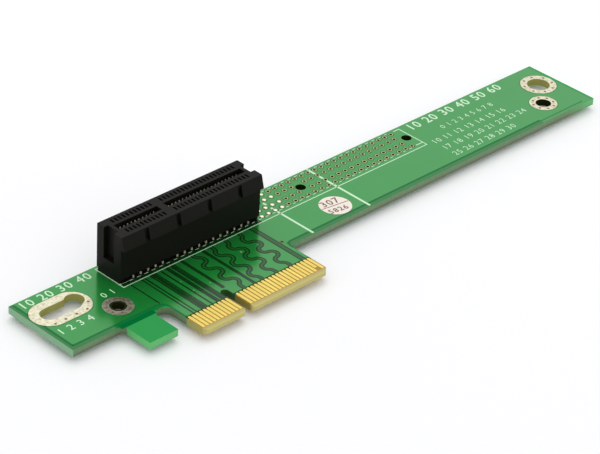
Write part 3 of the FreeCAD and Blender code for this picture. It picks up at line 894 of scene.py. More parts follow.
class Paint(Enum):
    """The finishes of the card's pieces."""

    LAMINATE = LaminateFinish(Zone.WALL.value, Zone.MARK.value, 0.5, patch=700.0,
                              specular=0.4, grain=0.006, weave=0.006)
    MASK = Finish((0.014, 0.295, 0.044), (0.018, 0.325, 0.053), 0.22, patch=250.0,
                  spread=0.06, metallic=0.4, specular=0.0, coat=1.0, coat_roughness=0.15,
                  grain=0.0006, grain_scale=2500.0, weave=0.0004)
    BARE_MASK = Finish((0.014, 0.335, 0.066), (0.02, 0.36, 0.08), 0.22, patch=250.0,
                       spread=0.06, specular=0.0, coat=0.3, coat_roughness=0.06, grain=0.0006,
                       grain_scale=2500.0, weave=0.0008)
    RIM = Finish((0.006, 0.19, 0.032), (0.012, 0.24, 0.05), 0.22, patch=400.0, spread=0.06,
                 specular=0.0, coat=0.85, coat_roughness=0.06, grain=0.0006,
                 grain_scale=2500.0, weave=0.0008)
    BAND = Finish((0.001, 0.15, 0.035), (0.002, 0.17, 0.04), 0.3, patch=500.0, specular=0.0)
    COMB = Finish((0.012, 0.045, 0.003), (0.02, 0.05, 0.004), 0.3, patch=900.0, specular=0.1)
    # Dark gaps through the copper; the same finish paints the shade strip in front of the
    # socket's foot.
    GAP = Finish((0.003, 0.042, 0.006), (0.005, 0.058, 0.008), 0.25, patch=500.0, spread=0.06,
                 specular=0.0, coat=0.75, coat_roughness=0.15)
    BORDER = Finish((0.004, 0.16, 0.036), (0.005, 0.18, 0.042), 0.25, patch=500.0,
                    spread=0.06, specular=0.0, coat=0.4, coat_roughness=0.08)
    PAIR = Finish((0.013, 0.11, 0.018), (0.018, 0.13, 0.022), 0.25, patch=500.0, spread=0.06,
                  specular=0.0, coat=0.8, coat_roughness=0.15)
    INK = Finish((0.64, 0.93, 0.64), (0.58, 0.88, 0.58), 0.5, patch=1500.0, grain=0.002)
    GOLD = Finish((0.84, 0.63, 0.13), (0.92, 0.76, 0.24), 0.22, patch=900.0, metallic=1.0,
                  grain=0.0008, scratches=0.25)
    TIN = Finish((0.24, 0.19, 0.08), (0.79, 0.76, 0.57), 0.3, patch=1500.0, amount=1.7,
                 metallic=1.0, grain=0.004, grain_scale=1800.0)
    DULL_TIN = Finish((0.48, 0.58, 0.26), (0.60, 0.70, 0.36), 0.4, patch=1500.0, metallic=1.0,
                      grain=0.004, grain_scale=1800.0)
    SOLDER = Finish((0.76, 0.74, 0.56), (0.62, 0.60, 0.44), 0.22, patch=1500.0, metallic=1.0,
                    grain=0.003, grain_scale=1500.0)
    CONTACT = Finish((0.90, 0.82, 0.66), (0.82, 0.76, 0.58), 0.3, patch=1500.0, metallic=0.5,
                     grain=0.001)
    # Black moulded plastic; the same finish paints the shade sheet under the socket.
    PLASTIC = Finish((0.0065, 0.0062, 0.0048), (0.0095, 0.009, 0.007), 0.46, patch=600.0,
                     spread=0.12, specular=0.085, grain=0.004, grain_scale=2500.0)
    PAPER = Finish((0.95, 0.85, 0.76), (0.97, 0.90, 0.83), 0.7, patch=700.0, grain=0.006,
                   grain_scale=3500.0)
    PRINT = Finish((0.16, 0.07, 0.05), (0.22, 0.10, 0.08), 0.6, patch=2500.0, grain=0.001)
    # Painted shade for the insides of holes; on the tooling and peg holes it also stands for
    # their darker drilled walls.
    DARK = Finish((0.012, 0.016, 0.001), (0.018, 0.022, 0.002), 0.5, patch=2500.0,
                  specular=0.1, grain=0.001)
    VIA = Finish((0.17, 0.11, 0.04), (0.10, 0.06, 0.02), 0.4, patch=2500.0, specular=0.3,
                 grain=0.001)
    RUST = Finish((0.035, 0.05, 0.012), (0.05, 0.06, 0.016), 0.4, patch=2500.0, specular=0.2)
    WORN = Finish((0.0, 0.0, 0.0), (0.36, 0.35, 0.26), 0.4, patch=1600.0, amount=1.6,
                  metallic=0.8, grain=0.003, grain_scale=1800.0)
    BORE = Finish((0.42, 0.42, 0.11), (0.30, 0.30, 0.07), 0.5, patch=900.0, specular=0.3,
                  grain=0.004)

    @classmethod
    def build_all(cls, layout: Layout) -> dict[Paint, bpy.types.Material]:
        """Build every finish once, round the shader groups that they share."""
        effects = Effects.build(layout)
        return {paint: paint.value.build(paint.name.lower(), effects) for paint in cls}


@dataclass(frozen=True)
class Assembly:
    """Some of the card's pieces, with the layout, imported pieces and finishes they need."""

    layout: Layout
    nodes: dict[str, bpy.types.Object]
    finishes: dict[Paint, bpy.types.Material]

    def dress(self, word: str, paint: Paint) -> None:
        """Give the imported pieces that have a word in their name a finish.

        Args:
            word: what the pieces' names hold.
            paint: the finish.
        """
        for name, node in self.nodes.items():
            if word in name:
                node.data.materials.clear()
                node.data.materials.append(self.finishes[paint])
                LOG.info("%s: dressed in %s", name, paint.name.lower())

    def copy_mesh(self, name: str) -> Mesh:
        """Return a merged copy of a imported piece, in millimetres about the key.

        Args:
            name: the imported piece.

        Returns:
            The copy.
        """
        mesh = bmesh.new()
        mesh.from_mesh(self.nodes[name].data)
        bmesh.ops.transform(mesh, matrix=self.layout.matrix.inverted(),
                            verts=list(mesh.verts))
        bmesh.ops.remove_doubles(mesh, verts=list(mesh.verts), dist=1e-4)
        return mesh

    def cast(self, mesh: Mesh, name: str, paints: Sequence[Paint], slot: Slot,
             smooth: bool = False) -> bpy.types.Object:
        """Turn a mesh made in millimetres about the key into a piece of the card.

        Args:
            mesh: the finished mesh, which is freed.
            name: the piece's name.
            paints: its finishes, in the order of the faces' material numbers.
            slot: the record's slot for its finish, handed on to carry.
            smooth: whether its faces are shaded smooth.

        Returns:
            The new object, which rides on the card's body.
        """
        bmesh.ops.recalc_face_normals(mesh, faces=list(mesh.faces))
        bmesh.ops.transform(mesh, matrix=self.layout.matrix, verts=list(mesh.verts))
        for surface in mesh.faces:
            surface.smooth = smooth
        return self.carry(mesh, name, paints, slot)

    def carry(self, mesh: Mesh, name: str, paints: Sequence[Paint], slot: Slot
              ) -> bpy.types.Object:
        """Turn a mesh in the card's frame into a piece that rides on the card's body.

        Args:
            mesh: the mesh in metres, which is freed.
            name: the piece's name.
            paints: its finishes.
            slot: not used.

        Returns:
            The new object.
        """
        piece = show(name, as_data(mesh, name))
        for paint in paints:
            piece.data.materials.append(self.finishes[paint])
        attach(piece, BODY)
        LOG.info("%s: %d faces", name, len(piece.data.polygons))
        return piece

    def spin_at(self, places: Sequence[Place], name: str,
                profiles: Sequence[Sequence[Place]], paint: Paint, slot: Slot,
                sides: int = 12, smooth: bool = False) -> None:
        """Turn profiles about the Z axis, repeat the shape and cast it.

        Args:
            places: where the shape stands.
            name: the new piece's name.
            profiles: outlines of radius and height, closed or ending on the axis.
            paint: its finish.
            slot: the record's slot for its finish, handed on to cast.
            sides: how many sides the round has.
            smooth: whether it is shaded smooth.
        """
        mesh = bmesh.new()
        for profile in profiles:
            spin_profile(mesh, profile, sides)
        stamp(mesh, places)
        self.cast(mesh, name, (paint,), slot, smooth)


@dataclass(frozen=True)
class Wave:
    """One wavy trace: its centre line, first crest, which side that is on and its swing."""

    x: float
    crest: float
    side: int
    swing: float


@dataclass(frozen=True)
class Board(Assembly):
    """The laminate with its solder mask films and the copper lines under them."""

    films: tuple[Paint, ...] = (Paint.MASK, Paint.BARE_MASK, Paint.COMB, Paint.RIM)
    film: float = 0.02
    line: float = 0.008
    comb: float = 0.6
    comb_rise: float = 0.32
    pour_left: float = 0.95
    pour_front: float = 1.2
    pour_right: float = 0.6
    step_x: float = 102.5
    step_y: float = 0.35
    tab_left: float = -12.15
    tab_right: float = 22.15
    corner_x: float = -14.1
    border_width: float = 0.5
    band_x: float = -24.4
    band_length: float = 9.0
    band_width: float = 1.4
    # Place and width of the painted shade strip in front of the socket's foot.
    shade_strip_y: float = -4.2
    shade_strip_width: float = 1.1
    broad_trace: Pair = (20.65, 0.76)
    tooling_clearance: float = 3.31
    mounting_clearance: float = 4.31
    clearance_width: float = 0.22
    wave_gap: float = 1.1
    wave_trace: float = 0.42
    half_period: float = 2.48
    half_periods: int = 4
    shortest: float = 0.05
    waves: tuple[Wave, ...] = (
        Wave(4.05, -7.6, 1, 1.1),
        Wave(9.15, -8.0, -1, 0.95),
        Wave(13.1, -7.9, -1, 1.1),
        Wave(17.1, -7.8, -1, 1.15),
    )

    def make(self) -> None:
        """Dress the laminate and lay films and copper lines on it."""
        self.dress("circuit_board", Paint.LAMINATE)
        self.make_film(Face.TOP, "mask_film_top")
        self.make_film(Face.UNDER, "mask_film_under")
        self.make_borders()
        self.make_gaps()
        self.make_serpentines()
        self.make_clearances()

    @property
    def mask_end(self) -> float:
        """Return where the solder mask ends between the fingers."""
        return self.layout.finger_top - self.comb

    def film_at(self, x: float, y: float) -> Paint | None:
        """Return the finish of the film at a place, or nothing where there is no film.

        Args:
            x: place along the board.
            y: place across it.

        Returns:
            The film's finish, or None where the laminate or fingers lie bare.
        """
        layout = self.layout
        on_tab = self.tab_left < x < self.tab_right
        if on_tab and y < self.mask_end:
            return None
        if on_tab and y < layout.finger_top + self.comb_rise:
            return Paint.COMB
        inside = x > layout.left + self.pour_left and x < layout.right - self.pour_right
        beyond = x > self.step_x
        if inside and (on_tab or beyond or y > layout.front + self.pour_front):
            return Paint.MASK
        on_rim = y > layout.front and not beyond
        return Paint.RIM if on_rim or x < layout.left + self.pour_left else Paint.BARE_MASK

    def make_film(self, face: Face, name: str) -> None:
        """Lay solder mask on one face of the board, round its holes and up to the fingers.

        Args:
            face: the face that gets it.
            name: the film's name.
        """
        layout = self.layout
        film = self.copy_mesh("circuit_board")
        level = layout.level(face)
        others = [surface for surface in film.faces
                  if surface.normal.z * face.value < 0.99
                  or abs(surface.calc_center_median().z - level) > 0.01]
        bmesh.ops.delete(film, geom=others, context="FACES")
        for normal, places in (
                (Vector((0, 1, 0)), (self.mask_end, layout.finger_top + self.comb_rise,
                                     layout.front + self.pour_front, layout.front)),
                (Vector((1, 0, 0)), (layout.left + self.pour_left,
                                     layout.right - self.pour_right, self.step_x,
                                     self.tab_left, self.tab_right))):
            for place in places:
                everything = list(film.verts) + list(film.edges) + list(film.faces)
                bmesh.ops.bisect_plane(film, geom=everything, dist=1e-5,
                                       plane_co=normal * place, plane_no=normal)
        bare = []
        for surface in film.faces:
            centre = surface.calc_center_median()
            paint = self.film_at(centre.x, centre.y)
            if paint is None:
                bare.append(surface)
            else:
                surface.material_index = self.films.index(paint)
        bmesh.ops.delete(film, geom=bare, context="FACES")
        thicken(film, self.film * face.value)
        self.cast(film, name, self.films, Slot.MASK)

    def lay(self, mesh: Mesh, name: str, *paints: Paint) -> None:
        """Give flat strips a thin thickness on top of the mask and cast them."""
        thicken(mesh, self.line, self.film)
        self.cast(mesh, name, paints, Slot.MASK)

    def make_borders(self) -> None:
        """Draw the dark outline where the copper ends short of the board's edges, a dark band
        along the ear's front and a strip of painted shade in front of the socket's foot.
        """
        layout = self.layout
        left = layout.left + self.pour_left
        front = layout.front + self.pour_front
        back = layout.back - 0.3
        socket_length = layout.socket_right - layout.socket_left - 0.2
        mesh = bmesh.new()
        Track(mesh, (left, back), -90, self.border_width).run(back - front)
        (Track(mesh, (left, front), 0, self.border_width)
         .run(self.corner_x - left)
         .turn(2.2, -90)
         .run(4.5))
        (Track(mesh, (self.tab_right + 0.15, front - 2.2), 90, self.border_width)
         .run(0.9)
         .turn(1.3, -90)
         .run(self.step_x - self.tab_right - 1.45))
        (Track(mesh, (self.step_x, front - self.step_y), 0, self.border_width / 2)
         .run(layout.right - 3.0 - self.step_x))
        with painted(mesh, 1):
            (Track(mesh, (self.band_x, layout.front - 0.05), 0, self.band_width)
             .run(self.band_length))
        # Painted shade: a dark strip in front of the socket's foot, standing for its shadow
        # and dark reflection.
        with painted(mesh, 2):
            (Track(mesh, (layout.socket_left + 0.1, self.shade_strip_y), 0, self.shade_strip_width)
             .run(socket_length))
        self.lay(mesh, "copper_borders", Paint.BORDER, Paint.BAND, Paint.GAP)

    def make_gaps(self) -> None:
        """Draw the tab's straight gaps, dark through the mask, and a trace between two."""
        mesh = bmesh.new()
        for x, width, low in self.gaps():
            self.lay_straight(mesh, x, width, low)
        with painted(mesh, 1, self.line):
            self.lay_straight(mesh, *self.broad_trace, self.trace_end)
        self.lay(mesh, "copper_gaps", Paint.GAP, Paint.PAIR)

    @property
    def trace_top(self) -> float:
        """Return where the tab's traces come out from under the socket."""
        return self.layout.socket_front - 0.3

    @property
    def trace_end(self) -> float:
        """Return where the tab's traces run into the fingers."""
        return self.layout.finger_top + 0.05

    def gaps(self) -> Iterator[tuple[float, float, float]]:
        """Yield place, width and end of each straight gap between the tab's traces.

        Yields:
            The gaps, one after the other.
        """
        for x, width in ((-9.88, 0.4), (-9.05, 0.4), (-7.6, 0.4), (-6.88, 0.95),
                         (-6.15, 0.4), (-4.8, 0.45), (-3.5, 0.4), (-2.98, 0.7),
                         (-1.87, 0.95), (-1.15, 0.4), (6.9, 0.85), (20.12, 0.32),
                         (21.18, 0.32)):
            yield x, width, self.trace_end
        yield -12.75, 0.35, self.layout.front + self.pour_front + 0.1
        yield 0.95, 0.85, -17.9

    def lay_straight(self, mesh: Mesh, x: float, width: float, end: float) -> None:
        """Lay a straight strip down the tab, from the socket to end."""
        Track(mesh, (x, self.trace_top), -90, width).run(self.trace_top - end)

    def make_serpentines(self) -> None:
        """Lay the wavy trace pairs that equalise lengths on the tab, over their gaps."""
        mesh = bmesh.new()
        for wave in self.waves:
            self.lay_wave(mesh, wave, self.wave_gap)
        with painted(mesh, 1, self.line):
            for wave in self.waves:
                self.lay_wave(mesh, wave, self.wave_trace)
        self.lay(mesh, "serpentine_traces", Paint.GAP, Paint.PAIR)

    def lay_wave(self, mesh: Mesh, wave: Wave, width: float) -> None:
        """Lay one wavy strip down the tab, from the socket to the fingers.

        Args:
            mesh: the mesh that gets it.
            wave: its course.
            width: width of the strip.
        """
        half = 2 * math.atan(2 * wave.swing / self.half_period)
        radius = self.half_period / 2 / math.sin(half)
        lead = math.acos(1 - wave.swing / 2 / radius)
        reach = 2 * radius * math.sin(lead)
        full, part = math.degrees(half), math.degrees(lead)
        track = Track(mesh, (wave.x, self.trace_top), -90, width)
        track.run(max(self.shortest, self.trace_top - wave.crest - reach))
        track.turn(radius, part * wave.side).turn(radius, -part * wave.side)
        side = wave.side
        for _ in range(self.half_periods):
            track.turn(radius, -full * side).turn(radius, full * side)
            side = -side
        track.turn(radius, -part * side).turn(radius, part * side)
        track.run(max(self.shortest, track.point.y - self.trace_end))

    def make_clearances(self) -> None:
        """Draw the thin dark ring that the mask leaves round each bare land."""
        layout = self.layout
        start, end = layout.slot_ends
        mesh = bmesh.new()
        for x, y, radius, length in (
                (layout.tooling_x[0], layout.tooling_y, self.tooling_clearance, 0.0),
                (layout.tooling_x[1], layout.tooling_y, self.tooling_clearance, 0.0),
                (layout.mounting_x, layout.mounting_y, self.mounting_clearance, 0.0),
                (start, layout.mounting_y, self.mounting_clearance, end - start)):
            track = Track(mesh, (x, y + radius), 0, self.clearance_width)
            for _ in range(2):
                if length:
                    track.run(length)
                track.turn(radius, -180)
            bmesh.ops.remove_doubles(mesh, verts=list(mesh.verts), dist=1e-4)
        self.lay(mesh, "land_clearances", Paint.BORDER)


@dataclass(frozen=True)
class Bores(Assembly):
    """Thin skins on the walls of the larger holes through the board."""

    skin: float = 0.015
    sleeve: float = 0.45

    def make(self) -> None:
        """Line the tooling and peg holes with near-black painted shade over their darker
        drilled walls, and the mounting holes like cut glass cloth.
        """
        layout = self.layout
        slot = sum(layout.slot_ends) / 2 + 0.5
        left, right = layout.tooling_x
        # Painted shade: a thick near-black sleeve narrows and darkens the left tooling hole;
        # thin dark skins darken the other holes.
        self.line("sleeved_bore", Paint.DARK, self.sleeve, (left, layout.tooling_y, 2.0))
        self.line("dark_bores", Paint.DARK, self.skin, (right, layout.tooling_y, 2.0),
                  (40.15, 0.0, 1.4), (73.15, 0.0, 1.4))
        self.line("mounting_bores", Paint.BORE, self.skin,
                  (layout.mounting_x, layout.mounting_y, 2.9),
                  (slot, layout.mounting_y + 0.3, 6.4))

    def line(self, name: str, paint: Paint, thickness: float,
             *holes: tuple[float, float, float]) -> None:
        """Line some of the board's holes.

        Args:
            name: name of the new piece.
            paint: the skin's finish.
            thickness: how thick it is.
            holes: centre and reach of each hole.
        """
        mesh = self.copy_mesh("circuit_board")
        others = [surface for surface in mesh.faces if not self.on_wall(surface, holes)]
        bmesh.ops.delete(mesh, geom=others, context="FACES")
        bmesh.ops.solidify(mesh, geom=list(mesh.faces), thickness=-thickness)
        self.cast(mesh, name, (paint,), Slot.MASK)

    def on_wall(self, surface: bmesh.types.BMFace,
                holes: Sequence[tuple[float, float, float]]) -> bool:
        """Return whether a face of the board is a wall of one of the holes.

        Args:
            surface: the face.
            holes: centre and reach of each hole.

        Returns:
            True on a wall of a hole.
        """
        if abs(surface.normal.z) > 0.5:
            return False
        centre = surface.calc_center_median()
        return any(math.hypot(centre.x - x, centre.y - y) < reach for x, y, reach in holes)


@dataclass(frozen=True)
class Fingers(Assembly):
    """The gold edge fingers, whose upper ends are round."""

    radius: float = 0.3

    def make(self) -> None:
        """Round and dress the fingers of both faces."""
        for name in self.nodes:
            if name.startswith("edge_fingers"):
                self.round_ends(name)

    def round_ends(self, name: str) -> None:
        """Replace one row of fingers with a copy that has round upper ends.

        Args:
            name: the row.
        """
        mesh = self.copy_mesh(name)
        merge_flat(mesh)
        corners = [edge for edge in mesh.edges if self.at_upper_end(edge)]
        bmesh.ops.bevel(mesh, geom=corners, offset=self.radius, offset_type="OFFSET",
                        affect="EDGES", segments=4, profile=0.5, material=-1)
        piece = self.cast(mesh, name.replace("edge", "rounded"), (Paint.GOLD,), Slot.GOLD)
        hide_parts(name)

    def at_upper_end(self, edge: bmesh.types.BMEdge) -> bool:
        """Return whether an upright edge stands at a finger's upper end.

        Args:
            edge: an edge of a finger.

        Returns:
            True at an upper end.
        """
        first, second = (vertex.co for vertex in edge.verts)
        upright = abs(first.z - second.z) > 0.01 and abs(first.y - second.y) < 0.001
        return upright and abs(first.y - self.layout.finger_top) < 0.01


@dataclass(frozen=True)
class Silkscreen(Assembly):
    """White ink lines and plain numbers printed on the top face."""

    base: float = 0.02
    height: float = 0.02
    width: float = 0.23
    box_left: float = -14.5
    box_right: float = 74.6
    box_front: float = -4.9
    box_back_gap: float = 0.75
    box_hooks: Pair = (0.9, 1.8)
    foot_line_y: float = -3.65
    foot_line_ends: Pair = (-11.3, 72.4)
    mark_width: float = 0.55
    dash_rows: Pair = (-3.85, 3.95)
    dash_half: float = 0.45
    dash_width: float = 0.15

    def make(self) -> None:
        """Print the socket outlines, the length marks and the plain numbers."""
        mesh = bmesh.new()
        self.print_box(mesh)
        self.print_dashes(mesh)
        for x, runs in ((29.4, ((-14.8, -3.95), (-2.6, -2.0), (-0.5, 0.5))),
                        (46.4, ((-14.8, -1.8), (-0.6, 0.6),
                                (1.9, self.layout.back - 0.1)))):
            for low, high in runs:
                self.print_line(mesh, (x, low), (x, high), self.mark_width)
        for text, height, x, y, weight in (
                ("10 20 30 40", 2.3, -35.0, 1.85, 0.03),
                ("1 2 3 4", 1.9, -34.8, -9.7, 0.02),
                ("0 1", 1.7, -20.0, -5.3, 0.0),
                ("10 20 30 40 50 60", 2.5, 76.4, 1.5, 0.04),
                ("0 1 2 3 4 5 6 7 8", 1.5, 82.6, -2.5, -0.015),
                ("10 11 12 13 14 15 16", 1.65, 76.2, -6.0, -0.015),
                ("17 18 19 20 21 22 23 24", 1.65, 76.2, -9.2, -0.015),
                ("25 26 27 28 29 30", 1.65, 76.2, -12.4, -0.015)):
            add_numerals(mesh, text, height, (x, y), 0, self.base, self.height, weight)
        self.cast(mesh, "silkscreen", (Paint.INK,), Slot.MASK)

    def print_line(self, mesh: Mesh, start: Place, end: Place, width: float) -> None:
        """Print a straight line along or across the board between two places.

        Args:
            mesh: the mesh that gets the line.
            start: one end of its middle.
            end: the other end.
            width: its width.
        """
        half = width / 2
        low = (min(start[0], end[0]), min(start[1], end[1]))
        high = (max(start[0], end[0]), max(start[1], end[1]))
        if high[0] - low[0] < high[1] - low[1]:
            low, high = (low[0] - half, low[1]), (high[0] + half, high[1])
        else:
            low, high = (low[0], low[1] - half), (high[0], high[1] + half)
        add_bar(mesh, low, high, self.base, self.height)

    def print_box(self, mesh: Mesh) -> None:
        """Print the outline of the longest socket that the board takes.

        Args:
            mesh: the mesh that gets the lines.
        """
        left, right, front = self.box_left, self.box_right, self.box_front
        back = self.layout.back - self.box_back_gap
        half = self.width / 2
        left_hook, right_hook = self.box_hooks
        left_end, right_end = self.foot_line_ends
        foot = self.foot_line_y
        for start, end in (((left, front - half), (left, back)),
                           ((left + half, front), (right - half, front)),
                           ((right, front - half), (right, back)),
                           ((left + half, back - half), (left + left_hook, back - half)),
                           ((right - right_hook, back - half), (right - half, back - half)),
                           ((left + half, foot), (left_end, foot)),
                           ((right_end, foot), (right - half, foot))):
            self.print_line(mesh, start, end, self.width)

    def print_dashes(self, mesh: Mesh) -> None:
        """Print the broken lines between the outer rows' pads.

        Args:
            mesh: the mesh that gets the lines.
        """
        for number in range(-6, 36):
            x = 2.0 * number + 0.5
            for y in self.dash_rows:
                self.print_line(mesh, (x - self.dash_half, y), (x + self.dash_half, y),
                                self.dash_width)


@dataclass(frozen=True)
class HoleField(Assembly):
    """The four rows of small plated holes along the socket's centre line."""

    inner: float = 1.25
    outer: float = 3.25
    last_tail: float = 21.5
    last_filled: float = 32.6
    pad_radius: float = 0.53
    hole_radius: float = 0.325
    barrel_radius: float = 0.335
    shade_radius: float = 0.37
    pad_height: float = 0.045
    ring_inner: float = 0.46
    ring_radius: float = 0.72
    ring_levels: Pair = (0.02, 0.028)

    def make(self) -> None:
        """Line the open holes and solder the others."""
        self.dress("solder_plugs", Paint.SOLDER)
        self.make_eyelets()
        self.make_rings()
        self.make_domes()
        self.make_cones()
        self.make_fillets()

    def places(self, use: Use) -> list[Place]:
        """Return where the holes of one use are.

        Args:
            use: what the holes hold.

        Returns:
            Their centres.
        """
        found = []
        for row, start, count, short_start, short_count, missing in (
                (self.inner, 2.5, 35, -11.5, 6, (22.5, 40.5)),
                (self.outer, 1.5, 36, -10.5, 5, ())):
            along = [start + 2 * number for number in range(count)]
            along += [short_start + 2 * number for number in range(short_count)]
            for x in along:
                if x not in missing and self.use_at(x) is use:
                    found += [(x, row), (x, -row)]
        return found

    def use_at(self, x: float) -> Use:
        """Return what a hole at a distance from the key holds.

        Args:
            x: place along the board.

        Returns:
            What the hole holds.
        """
        if x <= self.last_tail:
            return Use.TAIL
        return Use.FILLED if x <= self.last_filled else Use.OPEN

    def clear_of_socket(self, use: Use) -> list[Place]:
        """Return the holes of one use that no socket stands on."""
        return [place for place in self.places(use)
                if place[0] > self.layout.socket_right + 0.2]

    def make_eyelets(self) -> None:
        """Line the open holes with thin barrels that end in pads on both faces, with painted
        shade in each bore.
        """
        rise, under = self.pad_height, -self.layout.thickness
        mesh = bmesh.new()
        profile = ((self.hole_radius, rise), (self.shade_radius, rise),
                   (self.pad_radius, rise), (self.pad_radius, 0),
                   (self.barrel_radius, 0), (self.barrel_radius, under),
                   (self.pad_radius, under), (self.pad_radius, under - rise),
                   (self.hole_radius, under - rise))
        spin_profile(mesh, profile)
        # Painted shade in each bore and on a thin ring round its top mouth.
        for surface in mesh.faces:
            centre = surface.calc_center_median()
            if centre.z > under - 0.01 and centre.xy.length < self.shade_radius:
                surface.material_index = 1
        stamp(mesh, self.places(Use.OPEN))
        self.cast(mesh, "hole_eyelets", (Paint.DULL_TIN, Paint.DARK), Slot.TIN)

    def make_rings(self) -> None:
        """Draw the dark rings that the mask leaves round the pads."""
        low, high = self.ring_levels
        inner, outer = self.ring_inner, self.ring_radius
        profile = ((inner, low), (outer, low), (outer, high), (inner, high))
        self.spin_at(
            self.clear_of_socket(Use.OPEN) + self.clear_of_socket(Use.FILLED),
            "pad_clearances", (profile,), Paint.RUST, Slot.MASK)

    def make_domes(self) -> None:
        """Round off the solder in the filled holes on both faces."""
        outline = ((self.pad_radius, 0.0), (self.pad_radius, 0.04), (0.46, 0.12),
                   (0.28, 0.19), (0.0, 0.22))
        profiles = [[(radius, self.layout.level(face) + rise * face.value)
                     for radius, rise in outline] for face in Face]
        self.spin_at(self.clear_of_socket(Use.FILLED), "solder_domes", profiles,
                     Paint.SOLDER, Slot.SOLDER, smooth=True)

    def make_cones(self) -> None:
        """Draw the solder up each contact tail under the board."""
        outline = ((self.pad_radius, 0.0), (self.pad_radius, 0.04), (0.4, 0.18),
                   (0.27, 0.42), (0.2, 0.75), (0.0, 0.82))
        profile = [(radius, -self.layout.thickness - drop) for radius, drop in outline]
        self.spin_at(self.places(Use.TAIL), "solder_cones", (profile,),
                     Paint.SOLDER, Slot.SOLDER, smooth=True)

    def make_fillets(self) -> None:
        """Let a little solder show round the outer tails at the socket's foot."""
        profile = ((0.22, 0.03), (0.17, 0.08), (0.1, 0.12), (0.0, 0.14))
        outer = [place for place in self.places(Use.TAIL) if abs(place[1]) == self.outer]
        self.spin_at(outer, "solder_fillets", (profile,), Paint.CONTACT,
                     Slot.SOLDER, sides=10, smooth=True)


@dataclass(frozen=True)
class Vias(Assembly):
    """Small plugged vias in the lands round the larger holes and beside the traces."""

    radius: float = 0.3
    land: float = 0.05
    bore: float = 2.02
    worn: float = 3.2
    film: float = 0.028
    rise: float = 0.008

    def make(self) -> None:
        """Dress the lands and set vias in them and in the mask."""
        self.dress("_lands", Paint.TIN)
        self.make_worn_land()
        self.make_land_vias()
        self.make_mask_vias()

    def make_worn_land(self) -> None:
        """Lay the worn, browned skin of the left tooling hole's land."""
        low, high = self.land, self.land + self.rise / 2
        profile = ((self.bore, low), (self.worn, low), (self.worn, high), (self.bore, high))
        self.spin_at([(self.layout.tooling_x[0], self.layout.tooling_y)],
                     "worn_land", (profile,), Paint.WORN, Slot.TIN, sides=32)

    def make_land_vias(self) -> None:
        """Set a ring of vias in each round land and a line of them in the slot's land."""
        mesh = bmesh.new()
        for face in Face:
            base = self.layout.level(face) + self.land * face.value
            add_disc(mesh, (0, 0), self.radius, base, self.rise * face.value, 10)
        stamp(mesh, list(self.land_places()))
        self.cast(mesh, "land_vias", (Paint.VIA,), Slot.TIN)

    def land_places(self) -> Iterator[Place]:
        """Yield where the vias in the lands are.

        Yields:
            Their centres, one after the other.
        """
        layout = self.layout
        left, right = layout.tooling_x
        for x, y, ring in ((layout.mounting_x, layout.mounting_y, 3.5),
                           (left, layout.tooling_y, 2.5), (right, layout.tooling_y, 2.5)):
            for number in range(8):
                angle = math.radians(22.5 + 45 * number)
                yield x + ring * math.cos(angle), y + ring * math.sin(angle)
        for x in (-33.2, -30.55, -27.75, -25.05):
            yield x, layout.mounting_y - 3.4
        yield -23.2, -4.2

    def make_mask_vias(self) -> None:
        """Dot the tab with the vias that end its traces: a bare one and some under mask."""
        mesh = bmesh.new()
        # The bare via's dark centre, kind 2, is painted shade in its hole.
        for x, y, size, kind in ((21.9, -13.1, 0.45, 1), (21.9, -13.1, 0.2, 2),
                                 (12.7, -10.5, 0.25, 0), (-4.3, -10.7, 0.11, 0),
                                 (-4.4, -14.7, 0.11, 0), (0.0, -14.8, 0.11, 0)):
            with painted(mesh, kind):
                add_disc(mesh, (x, y), size, self.film + self.rise * kind, self.rise, 12)
        self.cast(mesh, "mask_vias", (Paint.DULL_TIN, Paint.VIA, Paint.DARK),
                  Slot.MASK)


@dataclass(frozen=True)
class Socket(Assembly):
    """The black moulded socket and its contacts, with a sheet of painted shade under it."""

    edge_radius: float = 0.1
    eased_above: float = 35.0
    # Reach, ends, base and height of the black sheet of painted shade under the socket.
    shade_sheet_reach: float = 3.7
    shade_sheet_ends: Pair = (0.3, 0.5)
    shade_sheet_base: float = 0.02
    shade_sheet_height: float = 0.03

    def make(self) -> None:
        """Dress the contacts, make the housing and lay the painted shade sheet under it."""
        self.dress("contacts_", Paint.CONTACT)
        self.make_housing()
        self.make_shade_sheet()

    def make_shade_sheet(self) -> None:
        """Lay a thin black sheet under the socket: painted shade where the board lies in its
        shadow.
        """
        left, right = self.shade_sheet_ends
        mesh = bmesh.new()
        add_bar(mesh, (self.layout.socket_left + left, -self.shade_sheet_reach),
                (self.layout.socket_right - right, self.shade_sheet_reach), self.shade_sheet_base,
                self.shade_sheet_height)
        self.cast(mesh, "socket_seat", (Paint.PLASTIC,), Slot.PLASTIC)

    def make_housing(self) -> None:
        """Replace the housing with a copy whose edges are eased."""
        mesh = bmesh.new()
        mesh.from_mesh(self.nodes["slot_housing"].data)
        bmesh.ops.remove_doubles(mesh, verts=list(mesh.verts), dist=1e-7)
        merge_flat(mesh)
        housing = self.carry(mesh, "socket_housing", (Paint.PLASTIC,), Slot.PLASTIC)
        ease = housing.modifiers.new("ease", "BEVEL")
        ease.width = self.edge_radius * MM
        ease.segments = 2
        ease.limit_method = "ANGLE"
        ease.angle_limit = math.radians(self.eased_above)
        ease.harden_normals = False
        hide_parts("slot_housing")


